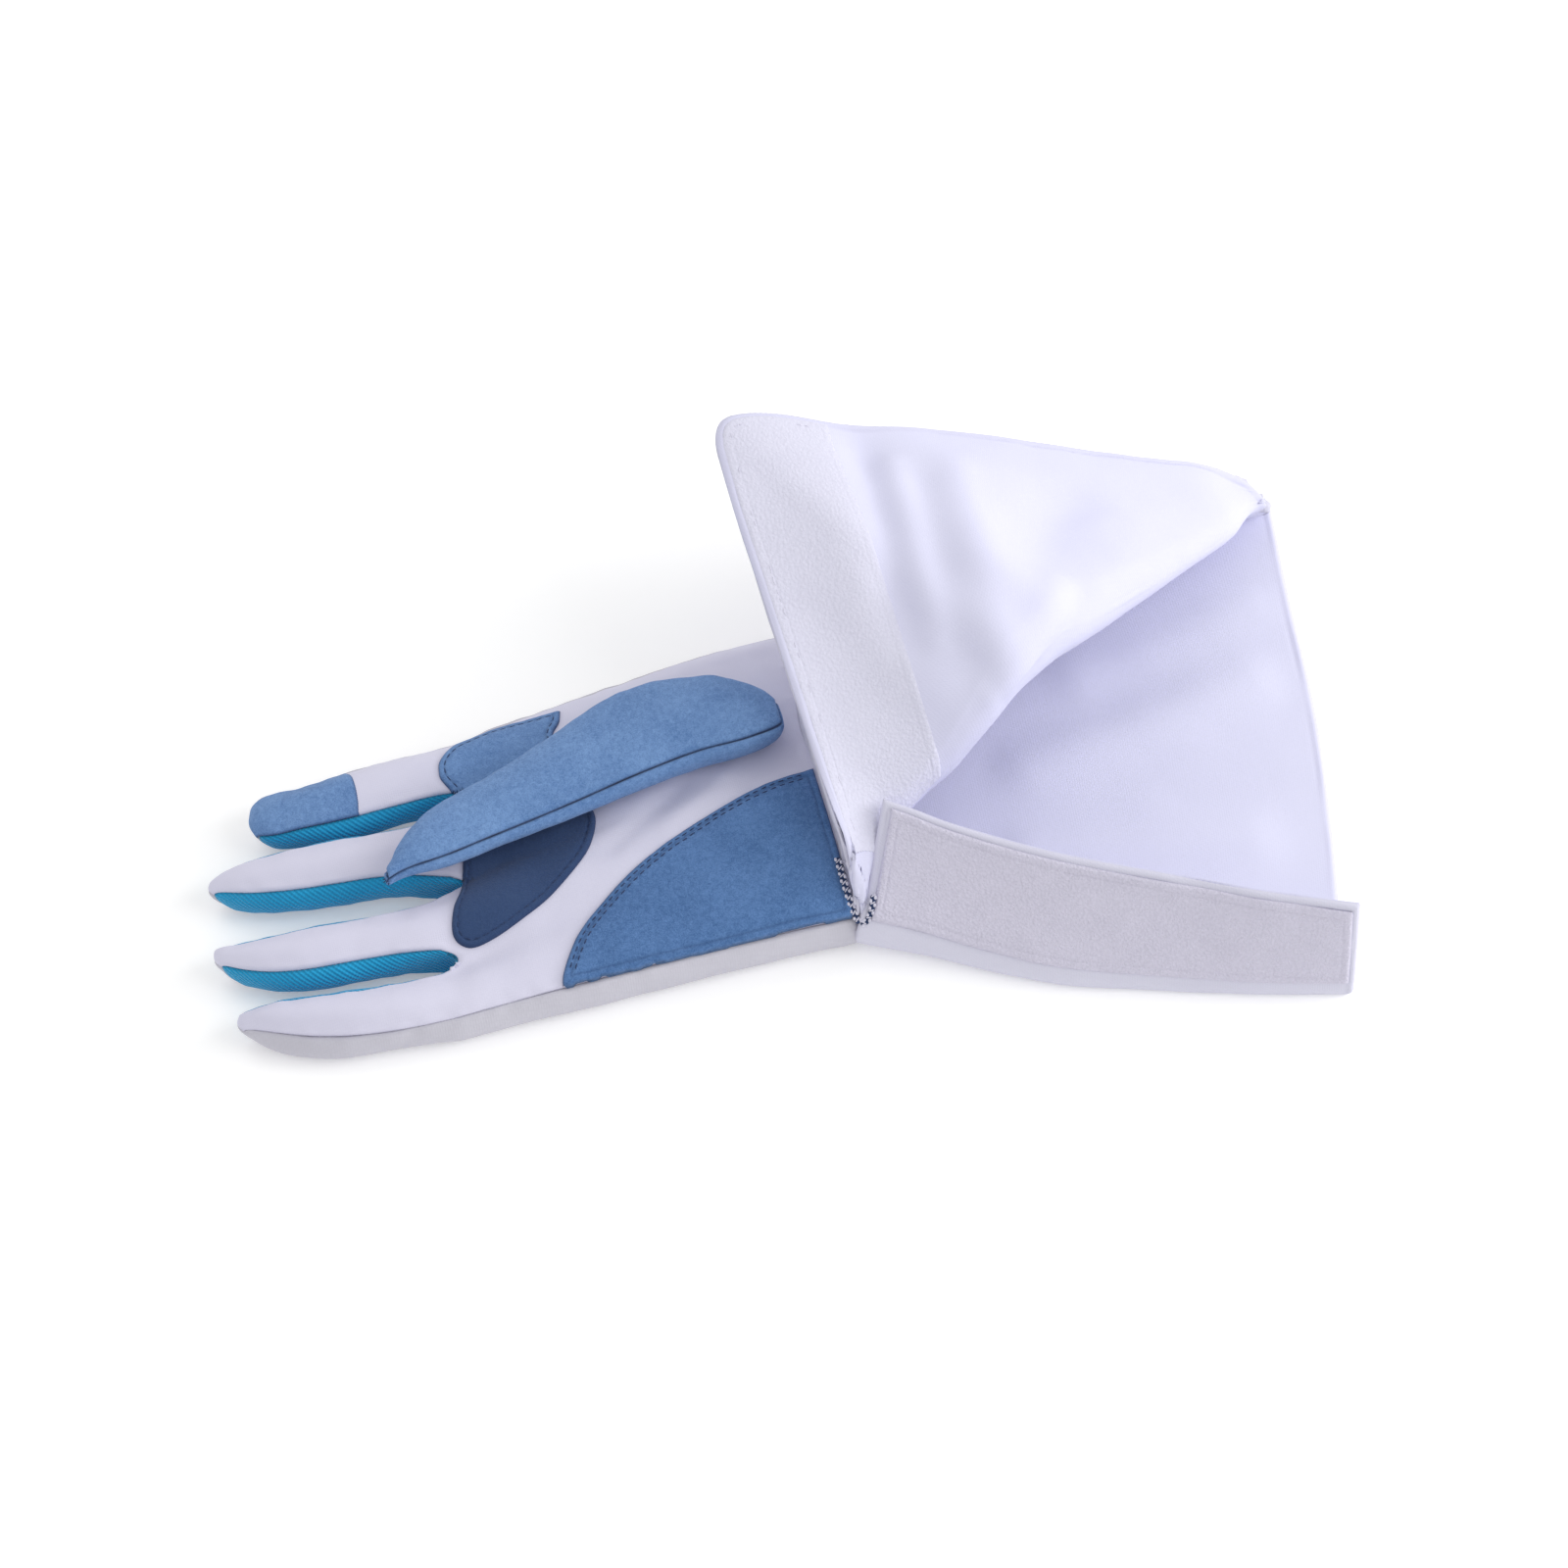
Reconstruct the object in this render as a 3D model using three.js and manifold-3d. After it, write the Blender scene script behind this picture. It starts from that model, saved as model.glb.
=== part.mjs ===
// Fencing glove for the right hand, lying palm up with its cuff opened.
// Millimetres, +Z up. The glove rests on z = 0 with its fingers toward -X.
import * as THREE from 'three';
import Module from 'manifold-3d';
import { mergeVertices } from 'three/addons/utils/BufferGeometryUtils.js';

const wasm = await Module();
wasm.setup();

// Hand of the glove
const HAND_LENGTH = 192;
const HAND_WIDTH = 115;
const PALM_DEPTH = 23;
const FINGER_DEPTH = 17;
const ULNAR_SEAM_HEIGHT = 13;
const RADIAL_SEAM_HEIGHT = 11;
const SIDE_BULGE = 3.2;
const CLOTH = 1.2;
const KNIT = 0.9;

// Suede patches
const SUEDE = 1.1;
const LAYER_GAP = 0.3;
const SEAM_GAP = 0.34;

// Thumb
const THUMB_LENGTH = 130;
const THUMB_WIDTH = 37;
const THUMB_LIFT = 33;
const THUMB_DEPTH = 11;
const THUMB_CROWN = 5;
const THUMB_HOLE_LENGTH = 56;
const THUMB_HOLE_WIDTH = 27;

// Cuff
const CUFF_LENGTH = 171;
const UNDERLAP_LENGTH = 141;
const RIM_WIDTH = 184;
const SHELL = 1.5;
const LINING = 1.2;
const FLAP_REACH = 125;
const FLAP_HEIGHT = 90;
const ROLL_HEIGHT = 52;
const ROLL_RADIUS = 14;
const FOLD_DEPTH = 3;

// Fastening strips and the overlocked edge at the slit
const STRIP_WIDTH = 35;
const LOOP_THICKNESS = 1.1;
const HOOK_THICKNESS = 1.2;
const STRIP_MARGIN = 2;
const SLIT_GAP = 3;
const OVERLOCK_WIDTH = 3;
const OVERLOCK_LENGTH = 25;
const OVERLOCK_THICKNESS = 0.9;

// Seam lines of the fingers, little finger first. "along" is a share of
// HAND_LENGTH from the wrist, "ulnar" and "radial" are shares of HAND_WIDTH,
// "seam" is the seam height as a share of FINGER_DEPTH.
const FINGERS = [
  [
    { along: 0.651, ulnar: -0.613, radial: -0.470, seam: 0.741 },
    { along: 0.724, ulnar: -0.611, radial: -0.478, seam: 0.729 },
    { along: 0.802, ulnar: -0.598, radial: -0.472, seam: 0.718 },
    { along: 0.865, ulnar: -0.574, radial: -0.461, seam: 0.694 },
    { along: 0.917, ulnar: -0.542, radial: -0.448, seam: 0.647 },
    { along: 0.948, ulnar: -0.520, radial: -0.450, seam: 0.588 },
    { along: 0.969, ulnar: -0.499, radial: -0.461, seam: 0.506 },
  ],
  [
    { along: 0.646, ulnar: -0.410, radial: -0.248, seam: 0.824 },
    { along: 0.714, ulnar: -0.391, radial: -0.252, seam: 0.800 },
    { along: 0.792, ulnar: -0.384, radial: -0.252, seam: 0.788 },
    { along: 0.865, ulnar: -0.377, radial: -0.250, seam: 0.765 },
    { along: 0.922, ulnar: -0.352, radial: -0.248, seam: 0.706 },
    { along: 0.961, ulnar: -0.317, radial: -0.243, seam: 0.624 },
    { along: 0.984, ulnar: -0.285, radial: -0.245, seam: 0.518 },
  ],
  [
    { along: 0.604, ulnar: -0.184, radial: 0.020, seam: 0.835 },
    { along: 0.680, ulnar: -0.144, radial: 0.012, seam: 0.820 },
    { along: 0.765, ulnar: -0.129, radial: 0.011, seam: 0.806 },
    { along: 0.850, ulnar: -0.118, radial: 0.012, seam: 0.780 },
    { along: 0.915, ulnar: -0.095, radial: 0.010, seam: 0.720 },
    { along: 0.954, ulnar: -0.068, radial: 0.000, seam: 0.625 },
    { along: 0.974, ulnar: -0.047, radial: -0.021, seam: 0.518 },
  ],
  [
    { along: 0.568, ulnar: 0.092, radial: 0.270, seam: 0.824 },
    { along: 0.630, ulnar: 0.091, radial: 0.265, seam: 0.824 },
    { along: 0.698, ulnar: 0.084, radial: 0.254, seam: 0.812 },
    { along: 0.765, ulnar: 0.079, radial: 0.236, seam: 0.790 },
    { along: 0.820, ulnar: 0.083, radial: 0.224, seam: 0.740 },
    { along: 0.862, ulnar: 0.098, radial: 0.208, seam: 0.640 },
    { along: 0.885, ulnar: 0.127, radial: 0.183, seam: 0.506 },
  ],
];

// How each finger closes toward its tip, row by row. "crown" is a share of
// FINGER_DEPTH above the seam, "keel" the height of the lower seam as a
// share of FINGER_DEPTH, "swell" a share of SIDE_BULGE, "reach" a share of
// FINGER_DEPTH that the middle of the row stands ahead of its sides.
const FINGER_ROWS = [
  { crown: 0.170, keel: 0.240, swell: 0.150, reach: 0.000 },
  { crown: 0.190, keel: 0.240, swell: 0.650, reach: 0.000 },
  { crown: 0.190, keel: 0.230, swell: 0.900, reach: 0.000 },
  { crown: 0.185, keel: 0.230, swell: 0.900, reach: 0.000 },
  { crown: 0.170, keel: 0.230, swell: 0.700, reach: 0.020 },
  { crown: 0.130, keel: 0.240, swell: 0.450, reach: 0.050 },
  { crown: 0.000, keel: 0.300, swell: 0.000, reach: 0.080 },
];

// Bottom of the slots between the fingers: shares of HAND_LENGTH and HAND_WIDTH
const SLOTS = [
  { along: 0.624, across: -0.440 },
  { along: 0.587, across: -0.215 },
  { along: 0.546, across: 0.057 },
];

// Rows of the palm from the wrist to the finger roots: "along" is the share
// of the way, "crown" the height as a share of PALM_DEPTH, "fingers" how much
// of the finger ridges shows there.
const PALM_ROWS = [
  { along: 0.00, crown: 1.00, fingers: 0.0 },
  { along: 0.09, crown: 0.98, fingers: 0.0 },
  { along: 0.19, crown: 0.94, fingers: 0.0 },
  { along: 0.30, crown: 0.88, fingers: 0.0 },
  { along: 0.41, crown: 0.84, fingers: 0.0 },
  { along: 0.52, crown: 0.81, fingers: 0.0 },
  { along: 0.63, crown: 0.78, fingers: 0.1 },
  { along: 0.74, crown: 0.76, fingers: 0.3 },
  { along: 0.84, crown: 0.74, fingers: 0.6 },
  { along: 0.93, crown: 0.73, fingers: 0.9 },
];

// Outline of the thumb pouch from its tip to its rounded end. "along" is a
// share of THUMB_LENGTH from the tip, "near" and "far" are shares of
// THUMB_WIDTH, "lift" is a share of THUMB_LIFT, "depth" of THUMB_DEPTH,
// "crown" of THUMB_CROWN.
const THUMB_ROWS = [
  { along: 0.000, near: -0.698, far: -0.590, lift: 0.730, depth: 0.22, crown: 0.30 },
  { along: 0.025, near: -0.680, far: -0.470, lift: 0.735, depth: 0.25, crown: 0.55 },
  { along: 0.070, near: -0.665, far: -0.270, lift: 0.745, depth: 0.38, crown: 0.80 },
  { along: 0.145, near: -0.655, far: -0.060, lift: 0.760, depth: 0.48, crown: 0.95 },
  { along: 0.245, near: -0.590, far: 0.060, lift: 0.785, depth: 0.54, crown: 1.00 },
  { along: 0.375, near: -0.510, far: 0.260, lift: 0.820, depth: 0.60, crown: 1.00 },
  { along: 0.500, near: -0.420, far: 0.470, lift: 0.850, depth: 0.68, crown: 1.00 },
  { along: 0.600, near: -0.335, far: 0.620, lift: 0.880, depth: 0.80, crown: 1.00 },
  { along: 0.690, near: -0.240, far: 0.720, lift: 0.905, depth: 0.92, crown: 1.00 },
  { along: 0.780, near: -0.135, far: 0.745, lift: 0.930, depth: 1.00, crown: 0.95 },
  { along: 0.860, near: -0.030, far: 0.700, lift: 0.955, depth: 1.00, crown: 0.85 },
  { along: 0.930, near: 0.060, far: 0.570, lift: 0.980, depth: 0.92, crown: 0.65 },
  { along: 0.975, near: 0.110, far: 0.420, lift: 0.995, depth: 0.70, crown: 0.40 },
  { along: 1.000, near: 0.170, far: 0.270, lift: 1.000, depth: 0.30, crown: 0.15 },
];

// Underlap of the cuff at the little finger side, from the wrist to the rim.
// "along" is a share of UNDERLAP_LENGTH, "out" a share of RIM_WIDTH beyond
// the wrist seam, heights are shares of STRIP_WIDTH, the top edge stands
// "lean" STRIP_WIDTH inward of the strip's foot.
const UNDERLAP_ROWS = [
  { along: 0.00, out: 0.012, low: 0.170, foot: 0.340, lean: 0.790, top: 0.960, skew: 0.42 },
  { along: 0.07, out: 0.022, low: 0.130, foot: 0.310, lean: 0.755, top: 0.970, skew: 0.37 },
  { along: 0.15, out: 0.050, low: 0.090, foot: 0.270, lean: 0.710, top: 0.975, skew: 0.28 },
  { along: 0.25, out: 0.092, low: 0.065, foot: 0.210, lean: 0.680, top: 0.975, skew: 0.23 },
  { along: 0.36, out: 0.135, low: 0.055, foot: 0.165, lean: 0.660, top: 0.975, skew: 0.16 },
  { along: 0.50, out: 0.172, low: 0.050, foot: 0.135, lean: 0.580, top: 0.980, skew: 0.10 },
  { along: 0.64, out: 0.206, low: 0.050, foot: 0.120, lean: 0.490, top: 0.985, skew: 0.06 },
  { along: 0.80, out: 0.245, low: 0.050, foot: 0.120, lean: 0.370, top: 1.000, skew: 0.03 },
  { along: 0.91, out: 0.266, low: 0.050, foot: 0.120, lean: 0.290, top: 1.000, skew: 0.02 },
  { along: 1.00, out: 0.281, low: 0.050, foot: 0.120, lean: 0.215, top: 1.000, skew: 0.02 },
];

// Crease where the palm side of the cuff rolls back, from the slit to the
// radial corner of the rim. "along" is a share of the crease, "height" a
// share of ROLL_HEIGHT, "radius" and "inset" (how far the roll stays back)
// shares of ROLL_RADIUS.
const CREASE_ROWS = [
  { along: 0.00, height: 0.395, radius: 0.29, inset: 0.00 },
  { along: 0.05, height: 0.420, radius: 0.30, inset: 0.32 },
  { along: 0.12, height: 0.450, radius: 0.34, inset: 0.62 },
  { along: 0.19, height: 0.530, radius: 0.50, inset: 0.56 },
  { along: 0.24, height: 0.620, radius: 0.64, inset: 0.38 },
  { along: 0.30, height: 0.810, radius: 0.80, inset: 0.18 },
  { along: 0.37, height: 0.970, radius: 1.00, inset: 0.00 },
  { along: 0.46, height: 0.950, radius: 1.00, inset: 0.00 },
  { along: 0.60, height: 0.740, radius: 0.84, inset: 0.00 },
  { along: 0.75, height: 0.560, radius: 0.62, inset: 0.00 },
  { along: 0.87, height: 0.420, radius: 0.45, inset: 0.00 },
  { along: 0.95, height: 0.345, radius: 0.36, inset: 0.00 },
  { along: 1.00, height: 0.315, radius: 0.32, inset: 0.00 },
];

// Height of the folded-back flap's outer edges as a share of FLAP_HEIGHT:
// first from the slit to the corner, then from the corner to the radial side
const EDGE_HEIGHTS = [
  { along: 0.00, height: 0.300 },
  { along: 0.08, height: 0.345 },
  { along: 0.25, height: 0.440 },
  { along: 0.50, height: 0.635 },
  { along: 0.75, height: 0.825 },
  { along: 1.00, height: 1.000 },
];
const RIM_HEIGHTS = [
  { along: 0.00, height: 1.000 },
  { along: 0.30, height: 0.815 },
  { along: 0.57, height: 0.630 },
  { along: 0.79, height: 0.455 },
  { along: 0.93, height: 0.310 },
  { along: 1.00, height: 0.245 },
];

// Soft folds on the flap: a line from one point to another, each as a share
// of the crease and a share of the way from the crease to the flap's edge.
// "depth" is a share of FOLD_DEPTH, "width" a share of FLAP_REACH.
const FLAP_FOLDS = [
  { t1: 0.52, q1: 0.95, t2: 0.36, q2: 0.30, depth: -1.0, width: 0.085 },
  { t1: 0.58, q1: 0.70, t2: 0.46, q2: 0.10, depth: 0.8, width: 0.080 },
  { t1: 0.66, q1: 0.45, t2: 0.50, q2: 0.05, depth: -0.9, width: 0.070 },
];

// Reads a column of a table of rows at a place along it
function readTable(rows, column, along) {
  const last = rows.length - 1;
  if (along <= rows[0].along) return rows[0][column];
  if (along >= rows[last].along) return rows[last][column];
  let i = 0;
  while (along > rows[i + 1].along) i += 1;
  const share = (along - rows[i].along) / (rows[i + 1].along - rows[i].along);
  return rows[i][column] * (1 - share) + rows[i + 1][column] * share;
}

function mix(a, b, share) {
  return a * (1 - share) + b * share;
}

// A sheet's middle surface: points, and triangles that belong to panels
class Skin {
  constructor() {
    this.points = [];
    this.faces = [];
  }

  point(x, y, z) {
    this.points.push(new THREE.Vector3(x, y, z));
    return this.points.length - 1;
  }

  triangle(panel, a, b, c) {
    if (a === b || b === c || c === a) return;
    this.faces.push({ panel, a, b, c });
  }

  quad(panel, a, b, c, d) {
    this.triangle(panel, a, b, c);
    this.triangle(panel, a, c, d);
  }

  // Directions in which the sheet is thickened, averaged by corner angle
  normals() {
    const out = this.points.map(() => new THREE.Vector3());
    this.faces.forEach((face) => {
      const ids = [face.a, face.b, face.c];
      const p = ids.map((id) => this.points[id]);
      const e1 = p[1].clone().sub(p[0]);
      const e2 = p[2].clone().sub(p[0]);
      const normal = e1.cross(e2).normalize();
      ids.forEach((id, k) => {
        const u = p[(k + 1) % 3].clone().sub(p[k]);
        const v = p[(k + 2) % 3].clone().sub(p[k]);
        out[id].addScaledVector(normal, u.angleTo(v));
      });
    });
    return out.map((normal) => normal.normalize());
  }
}

// Closed sheet between two offsets of a skin, over the faces that are kept.
// Its edges are drawn back from the seam by "back".
function thickSheet(skin, keep, outer, inner, back) {
  const normals = skin.normals();
  const faces = skin.faces.filter(keep);
  const edges = new Map();
  faces.forEach((face) => {
    [[face.a, face.b], [face.b, face.c], [face.c, face.a]].forEach(([from, to]) => {
      edges.set(`${from} ${to}`, { from, to, face });
    });
  });
  const rim = [...edges.values()].filter((edge) => !edges.has(`${edge.to} ${edge.from}`));
  const inward = new Map();
  rim.forEach((edge) => {
    const a = skin.points[edge.face.a];
    const ab = skin.points[edge.face.b].clone().sub(a);
    const ac = skin.points[edge.face.c].clone().sub(a);
    const flat = ab.cross(ac).normalize();
    const along = skin.points[edge.to].clone().sub(skin.points[edge.from]).normalize();
    const into = flat.cross(along);
    [edge.from, edge.to].forEach((id) => {
      const normal = normals[id];
      const way = into.clone().addScaledVector(normal, -into.dot(normal)).normalize();
      if (!inward.has(id)) inward.set(id, []);
      inward.get(id).push(way);
    });
  });
  const shift = new Map();
  inward.forEach((ways, id) => {
    const sum = ways.reduce((total, way) => total.add(way), new THREE.Vector3());
    const spread = ways.length > 1 ? 1 + ways[0].dot(ways[1]) : 1;
    shift.set(id, sum.multiplyScalar(back / Math.max(spread, 0.35)));
  });
  const used = new Map();
  const positions = [];
  const place = (id, offset, key) => {
    if (!used.has(key)) {
      const p = skin.points[id].clone().addScaledVector(normals[id], offset);
      if (shift.has(id)) p.add(shift.get(id));
      used.set(key, positions.length / 3);
      positions.push(p.x, p.y, p.z);
    }
    return used.get(key);
  };
  const top = (id) => place(id, outer, `top ${id}`);
  const low = (id) => place(id, inner, `low ${id}`);
  const index = [];
  faces.forEach((face) => {
    index.push(top(face.a), top(face.b), top(face.c));
    index.push(low(face.c), low(face.b), low(face.a));
  });
  rim.forEach((edge) => {
    index.push(top(edge.to), top(edge.from), low(edge.from));
    index.push(top(edge.to), low(edge.from), low(edge.to));
  });
  return makeGeometry(positions, index);
}

function makeGeometry(positions, index) {
  const geometry = new THREE.BufferGeometry();
  geometry.setAttribute('position', new THREE.Float32BufferAttribute(positions, 3));
  geometry.setIndex(index);
  return geometry;
}

// Conversions between geometries and solids for the cuts and joins
function toSolid(geometry) {
  const plain = geometry.clone();
  Object.keys(plain.attributes).forEach((name) => {
    if (name !== 'position') plain.deleteAttribute(name);
  });
  const merged = mergeVertices(plain, 1e-4);
  const triVerts = new Uint32Array(merged.index.array);
  const vertProperties = new Float32Array(merged.attributes.position.array);
  return new wasm.Manifold(new wasm.Mesh({ numProp: 3, vertProperties, triVerts }));
}

function toGeometry(solid) {
  const mesh = solid.getMesh();
  const positions = [];
  for (let i = 0; i < mesh.vertProperties.length; i += mesh.numProp) {
    positions.push(mesh.vertProperties[i], mesh.vertProperties[i + 1], mesh.vertProperties[i + 2]);
  }
  return makeGeometry(positions, Array.from(mesh.triVerts));
}

// Upright prism over an outline of [x, y] points
function prism(outline, low, high) {
  const shape = new THREE.Shape(outline.map(([x, y]) => new THREE.Vector2(x, y)));
  const geometry = new THREE.ExtrudeGeometry(shape, { depth: high - low, bevelEnabled: false });
  geometry.translate(0, 0, low);
  return toSolid(geometry);
}

// Places in the hand: shares of its length from the wrist and of its width
const handX = (share) => -share * HAND_LENGTH;
const handY = (share) => share * HAND_WIDTH;

// Skin of the whole hand without the thumb
const ULNAR_WRIST = -0.561;
const RADIAL_WRIST = 0.435;
const PALM_SIDE_FULLNESS = 2.6;
const RIDGE_SHARE = [0, 0.72, 1, 0.72, 0];
const TOP_COLUMNS = 23;
const LAST_TOP = TOP_COLUMNS - 1;

const hand = new Skin();

// Height of the palm side between the two side seams, at a share of the width
function palmHeight(share, crown) {
  const edge = mix(ULNAR_SEAM_HEIGHT, RADIAL_SEAM_HEIGHT, share);
  const side = Math.abs(share * 2 - 1);
  const full = (1 - side ** PALM_SIDE_FULLNESS) ** 0.6;
  return edge + (crown * PALM_DEPTH - edge) * full;
}

// One row of a finger: five points on top between its two seams
function fingerTop(rows, row) {
  const data = rows[row];
  const shape = FINGER_ROWS[row];
  return RIDGE_SHARE.map((ridge, k) => {
    const share = k / 4;
    const x = handX(data.along) - shape.reach * FINGER_DEPTH * ridge;
    const y = handY(mix(data.ulnar, data.radial, share));
    const z = (data.seam + shape.crown * ridge) * FINGER_DEPTH;
    return [x, y, z];
  });
}

// Finger root row and slot bottoms in one line across the hand
const rootLine = [];
FINGERS.forEach((rows, k) => {
  fingerTop(rows, 0).forEach((p) => rootLine.push(p));
  if (k < 3) {
    const lift = mix(rows[0].seam, FINGERS[k + 1][0].seam, 0.5) * FINGER_DEPTH;
    rootLine.push([handX(SLOTS[k].along), handY(SLOTS[k].across), lift]);
  }
});
// The outer seams come down to the height of the side seams
rootLine[0][2] = ULNAR_SEAM_HEIGHT * 0.86;
rootLine[LAST_TOP][2] = RADIAL_SEAM_HEIGHT;

const topRows = [];
PALM_ROWS.forEach((row) => {
  const line = [];
  for (let c = 0; c < TOP_COLUMNS; c += 1) {
    const share = c / LAST_TOP;
    const root = rootLine[c];
    const x = root[0] * row.along;
    const wristY = handY(mix(ULNAR_WRIST, RADIAL_WRIST, share));
    const y = mix(wristY, root[1], row.along ** 1.3);
    const smooth = palmHeight(share, row.crown);
    const z = mix(smooth, root[2], row.fingers);
    line.push(hand.point(x, y, z));
  }
  topRows.push(line);
});
topRows.push(rootLine.map((p) => hand.point(p[0], p[1], p[2])));
const ROOT_ROW = topRows.length - 1;

// Back of the hand: flat under the palm, and rounded up to the side seams
const KEEL = 0.24;
function underLine(x, y, lift) {
  return hand.point(x, y, lift);
}
const lowRows = topRows.map((line, j) => {
  const row = j < ROOT_ROW ? PALM_ROWS[j].fingers : 1;
  return line.map((id, c) => {
    const p = hand.points[id];
    const inSlot = c % 6 === 5;
    const besideSlot = (c % 6 === 4 && c < LAST_TOP) || (c % 6 === 0 && c > 0);
    const raised = inSlot || besideSlot ? KEEL * FINGER_DEPTH : 0;
    const lift = j === ROOT_ROW ? raised : raised * Math.max(0, row - 0.55);
    const middle = handY(mix(ULNAR_WRIST, RADIAL_WRIST, 0.5));
    const y = c === 0 || c === LAST_TOP ? middle + (p.y - middle) * 0.95 : p.y;
    return underLine(p.x, y, lift);
  });
});

// Side swell between a side seam and the flat underside, one pair per row
function sideSwell(seamId, underId, outward) {
  const seam = hand.points[seamId];
  const under = hand.points[underId];
  const swell = outward * SIDE_BULGE;
  const upper = hand.point(seam.x, seam.y + swell, seam.z * 0.5);
  const lower = hand.point(under.x, mix(seam.y + swell, under.y, 0.35), seam.z * 0.1);
  return [upper, lower];
}
const ulnarSwell = topRows.map((line, j) => sideSwell(line[0], lowRows[j][0], -1));
const radialSwell = topRows.map((line, j) => sideSwell(line[LAST_TOP], lowRows[j][LAST_TOP], 1));

for (let j = 0; j < ROOT_ROW; j += 1) {
  for (let c = 0; c < LAST_TOP; c += 1) {
    const top = topRows;
    hand.quad('palm', top[j][c], top[j][c + 1], top[j + 1][c + 1], top[j + 1][c]);
    const low = lowRows;
    hand.quad('back', low[j][c], low[j + 1][c], low[j + 1][c + 1], low[j][c + 1]);
  }
}

// A strip of quads between two lines of points
function strip(panel, near, far) {
  for (let i = 0; i + 1 < near.length; i += 1) {
    hand.quad(panel, near[i], near[i + 1], far[i + 1], far[i]);
  }
}

// Fingers: top, underside and the points on both sides between the seams
const fingerSides = FINGERS.map((rows, k) => {
  const first = k * 6;
  const top = [topRows[ROOT_ROW].slice(first, first + 5)];
  const low = [lowRows[ROOT_ROW].slice(first, first + 5)];
  const ulnar = [ulnarSwell[ROOT_ROW]];
  const radial = [radialSwell[ROOT_ROW]];
  for (let r = 1; r < rows.length; r += 1) {
    const shape = FINGER_ROWS[r];
    const points = fingerTop(rows, r);
    const isTip = r === rows.length - 1;
    const outer = k === 0 ? 0 : 4;
    if (k === 0 || k === 3) {
      const seam = (k === 0 ? ULNAR_SEAM_HEIGHT * 0.78 : RADIAL_SEAM_HEIGHT);
      points[outer][2] = Math.min(points[outer][2], seam);
    }
    const topLine = points.map((p) => hand.point(p[0], p[1], p[2]));
    top.push(topLine);
    if (isTip) {
      low.push(topLine);
      ulnar.push([topLine[0], topLine[0]]);
      radial.push([topLine[4], topLine[4]]);
      continue;
    }
    const lowLine = points.map((p, i) => {
      const share = i / 4;
      const y = mix(points[0][1], points[4][1], mix(0.06, 0.94, share));
      const isOuter = (k === 0 && i === 0) || (k === 3 && i === 4);
      const isEdge = i === 0 || i === 4;
      const nearTip = r >= rows.length - 2 ? 0.18 : 0;
      const lift = isOuter ? nearTip : (isEdge ? shape.keel : nearTip * 0.6);
      return hand.point(p[0], y, lift * FINGER_DEPTH);
    });
    low.push(lowLine);
    const side = (seamId, underId, outward) => {
      const seam = hand.points[seamId];
      const under = hand.points[underId];
      const swell = outward * SIDE_BULGE * shape.swell;
      const upper = hand.point(seam.x, seam.y + swell, mix(seam.z, under.z, 0.38));
      const lower = hand.point(under.x, under.y + swell, mix(seam.z, under.z, 0.76));
      return [upper, lower];
    };
    ulnar.push(side(topLine[0], lowLine[0], -1));
    radial.push(side(topLine[4], lowLine[4], 1));
  }
  for (let r = 0; r + 1 < top.length; r += 1) {
    for (let i = 0; i < 4; i += 1) {
      hand.quad('palm', top[r][i], top[r][i + 1], top[r + 1][i + 1], top[r + 1][i]);
      hand.quad('back', low[r][i], low[r + 1][i], low[r + 1][i + 1], low[r][i + 1]);
    }
  }
  return { top, low, ulnar, radial };
});

// Little finger side and index side belong to the back of the glove
function outerSide(seamLine, swellLine, underLineIds, flip) {
  const columns = [seamLine, swellLine.map((s) => s[0]), swellLine.map((s) => s[1]), underLineIds];
  for (let c = 0; c < 3; c += 1) {
    if (flip) strip('back', columns[c + 1], columns[c]);
    else strip('back', columns[c], columns[c + 1]);
  }
}
const little = fingerSides[0];
const index = fingerSides[3];
outerSide(
  [...topRows.map((l) => l[0]), ...little.top.slice(1).map((l) => l[0])],
  [...ulnarSwell, ...little.ulnar.slice(1)],
  [...lowRows.map((l) => l[0]), ...little.low.slice(1).map((l) => l[0])],
  false,
);
outerSide(
  [...topRows.map((l) => l[LAST_TOP]), ...index.top.slice(1).map((l) => l[4])],
  [...radialSwell, ...index.radial.slice(1)],
  [...lowRows.map((l) => l[LAST_TOP]), ...index.low.slice(1).map((l) => l[4])],
  true,
);

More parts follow.
